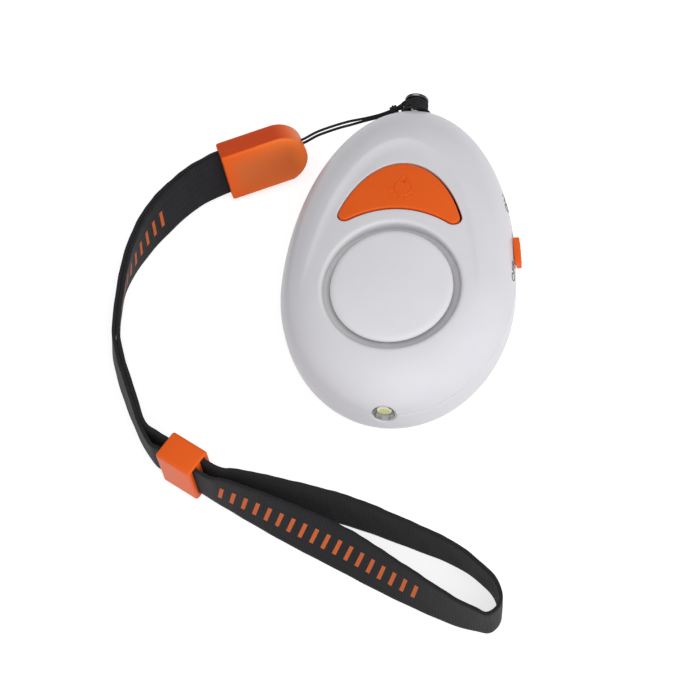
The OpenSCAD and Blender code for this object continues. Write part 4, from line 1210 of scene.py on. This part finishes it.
def makeWords():
    skin = newSkin()
    for word, start in words["starts"].items():
        curve = bpy.data.curves.new("word" + word, "FONT")
        curve.body, curve.size, curve.extrude = word, words["size"], 0.5
        holder = bpy.data.objects.new("word" + word, curve)
        scene.collection.objects.link(holder)
        shape = bmesh.new()
        shape.from_mesh(holder.evaluated_get(bpy.context.evaluated_depsgraph_get()).to_mesh())
        bpy.data.objects.remove(holder)
        bpy.data.curves.remove(curve)
        bmesh.ops.remove_doubles(shape, verts=shape.verts, dist=0.0005)
        bmesh.ops.triangulate(shape, faces=shape.faces)
        bmesh.ops.recalc_face_normals(shape, faces=shape.faces)
        shape.verts.index_update()
        flat = np.array([v.co[:] for v in shape.verts])
        tris = np.array([[v.index for v in f.verts] for f in shape.faces])
        shape.free()
        phi = math.asin((words["foot"] - wideZ) / edgeR) + flat[:, 1] / edgeR
        y, r = start + flat[:, 0], flatR + edgeR * np.cos(phi)
        x = np.sqrt(r ** 2 - (y * halfW / egg["noseLength"]) ** 2)
        points = columns(x, y, wideZ + edgeR * np.sin(phi))
        lift = np.where(flat[:, 2] > 0, words["proud"], -words["sunk"])
        points = points + eggNormal(points) * lift[:, None]
        addFaces(skin, tris + skin["count"])
        addPoints(skin, points)
    makePiece("switchWords", skin, "case", blackMould, sharp=30)


# slider: rounded sleeve, two slots right through it, flat ends between them
def makeSlider():
    u, v = turnedAxes(slider["turn"])
    at = np.array([*slider["at"], slider["height"] / 2])
    halfL, halfT, halfH, edge = slider["length"] / 2, slider["thick"] / 2, slider["height"] / 2, slider["edge"]

    def place(flat, d):
        return at + u * d + v * flat[:, :1] + upward * flat[:, 1:]

    def sleeve(inset):
        return roundRect(halfT - inset, halfH - inset, 0.2 + edge - inset, arc=5, edge=14)

    def slot(side, grow, corner):
        high = strap["width"] / 2 + slider["slotRoom"] + grow
        loop = roundRect(slider["slotThick"] / 2 + grow, high, corner, arc=4, edge=14)
        return loop + [side * slider["slotOffset"], slider["wall"] + strap["width"] / 2 - halfH]

    skin, lip, sides = newSkin(), slider["lip"], (-1, 1)
    flat, tris, rims = fillPatch([sleeve(edge)] + [slot(s, lip, 0.2) for s in sides], 0.8)
    nearIds, farIds = addPoints(skin, place(flat, -halfL)), addPoints(skin, place(flat, halfL))
    addFaces(skin, nearIds[tris][:, ::-1])
    addFaces(skin, farIds[tris])
    rows = [(-halfL + edge * (1 - math.cos(t)), edge * (1 - math.sin(t))) for t in np.radians([18, 36, 54, 72, 90])]
    rows += [(0.0, 0.0)] + [(-d, inset) for d, inset in rows[::-1]]
    last = growRings(skin, nearIds[rims[0]], [place(sleeve(inset), d) for d, inset in rows])
    addFaces(skin, ringQuads(last, farIds[rims[0]]))
    for s, rim in zip(sides, rims[1:]):
        last = growRings(skin, nearIds[rim], [place(slot(s, 0.0, 0.1), d) for d in (-halfL + lip, halfL - lip)], True)
        addFaces(skin, ringQuads(last, farIds[rim], True))
    makePiece("strapSlider", skin, "slider", orangeMould, ["strap_slider"], sharp=50)


cordPiece, cordPath, cordLength = makeCord()
knotPiece = makeKnot()
makeClasp()
strapPiece, strapLength = makeStrap()
makeSlider()
print("cord, strap, clasp and slider made", round(cordLength, 1), round(strapLength, 1))
makeFrontShell()
makeRearShell()
makeSounderDisc()
makeLightButton()
makeKnob()
makeWords()
print("case, disc, button, knob and words made")
makePin()
makeSocket()
makeReflector()
makeLamp()
print("pin, socket and torch made")

# finish of each CAD node that stays
nodeFinish = {"battery_cover": shellWhite, "battery_cover_screw": steelPlain, "case_screws": steelPlain,
              "sounder_seat": softBlack, "sounder_plate": brassPlain, "sounder_ceramic": ceramicPale,
              "sounder_contacts": brassPlain, "circuit_board": boardGreen, "board_screws": steelPlain,
              "light_switch": blackMould, "light_plunger": creamMould, "slide_switch": steelPlain,
              "lamp_leads": steelPlain, "button_cells": steelPlain, "battery_contacts": brassPlain,
              "battery_link": brassPlain, "control_chip": blackMould, "boost_coil": copperWire,
              "pin_contacts": brassPlain}
for name, material in nodeFinish.items():
    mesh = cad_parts[name].data
    mesh.materials.clear()
    mesh.materials.append(material)

# studio: pale floor, surround that is brighter on the right and towards the blunt end, one large soft key
studio = {"floor": 0.68, "floorGlow": 0.66, "surround": 0.64, "toRight": 0.17, "toNose": -0.34, "key": 5.0,
          "keyAt": (0.55, -0.45, 0.75), "keySize": 1.2}


def makeStudio():
    size = 3.0
    mesh = bpy.data.meshes.new("paleFloor")
    mesh.from_pydata([(-size, -size, 0), (size, -size, 0), (size, size, 0), (-size, size, 0)], [], [(0, 1, 2, 3)])
    floor = bpy.data.objects.new("paleFloor", mesh)
    scene.collection.objects.link(floor)
    material, tree, shader = newMaterial("paleFloor")
    tree.nodes.remove(shader)
    cloth = feed(tree, node(tree, "ShaderNodeBsdfDiffuse"), {"Color": (studio["floor"],) * 3 + (1,)})[0]
    paths = node(tree, "ShaderNodeLightPath").outputs
    seen = mathNode(tree, "ADD", paths["Is Camera Ray"], paths["Is Glossy Ray"])
    seen = mathNode(tree, "MINIMUM", mathNode(tree, "ADD", seen, paths["Is Transmission Ray"]), 1.0)
    strength = mathNode(tree, "MULTIPLY", seen, studio["floorGlow"])
    glow = feed(tree, node(tree, "ShaderNodeEmission"), {"Strength": strength})[0]
    both = feed(tree, node(tree, "ShaderNodeAddShader"), {0: cloth, 1: glow})[0]
    feed(tree, tree.nodes["Material Output"], {"Surface": both})
    mesh.materials.append(material)

    world = bpy.data.worlds.new("softSurround")
    scene.world = world
    world.use_nodes = True
    tree = world.node_tree
    way = splitNode(tree, node(tree, "ShaderNodeTexCoord").outputs["Generated"])
    level = mathNode(tree, "ADD", mathNode(tree, "MULTIPLY", way["X"], studio["toRight"]), studio["surround"])
    level = mathNode(tree, "ADD", level, mathNode(tree, "MULTIPLY", way["Y"], studio["toNose"]))
    feed(tree, tree.nodes["Background"], {"Color": (1.0, 1.0, 1.0, 1), "Strength": level})

    light = bpy.data.lights.new("softKey", "AREA")
    light.size, light.energy = studio["keySize"], studio["key"]
    lamp = bpy.data.objects.new("softKey", light)
    lamp.visible_glossy = False
    scene.collection.objects.link(lamp)
    aim = Vector((0, 0, 0.01)) - Vector(studio["keyAt"])
    lamp.location = studio["keyAt"]
    lamp.rotation_euler = aim.to_track_quat("-Z", "Y").to_euler()


makeStudio()
print("studio made")
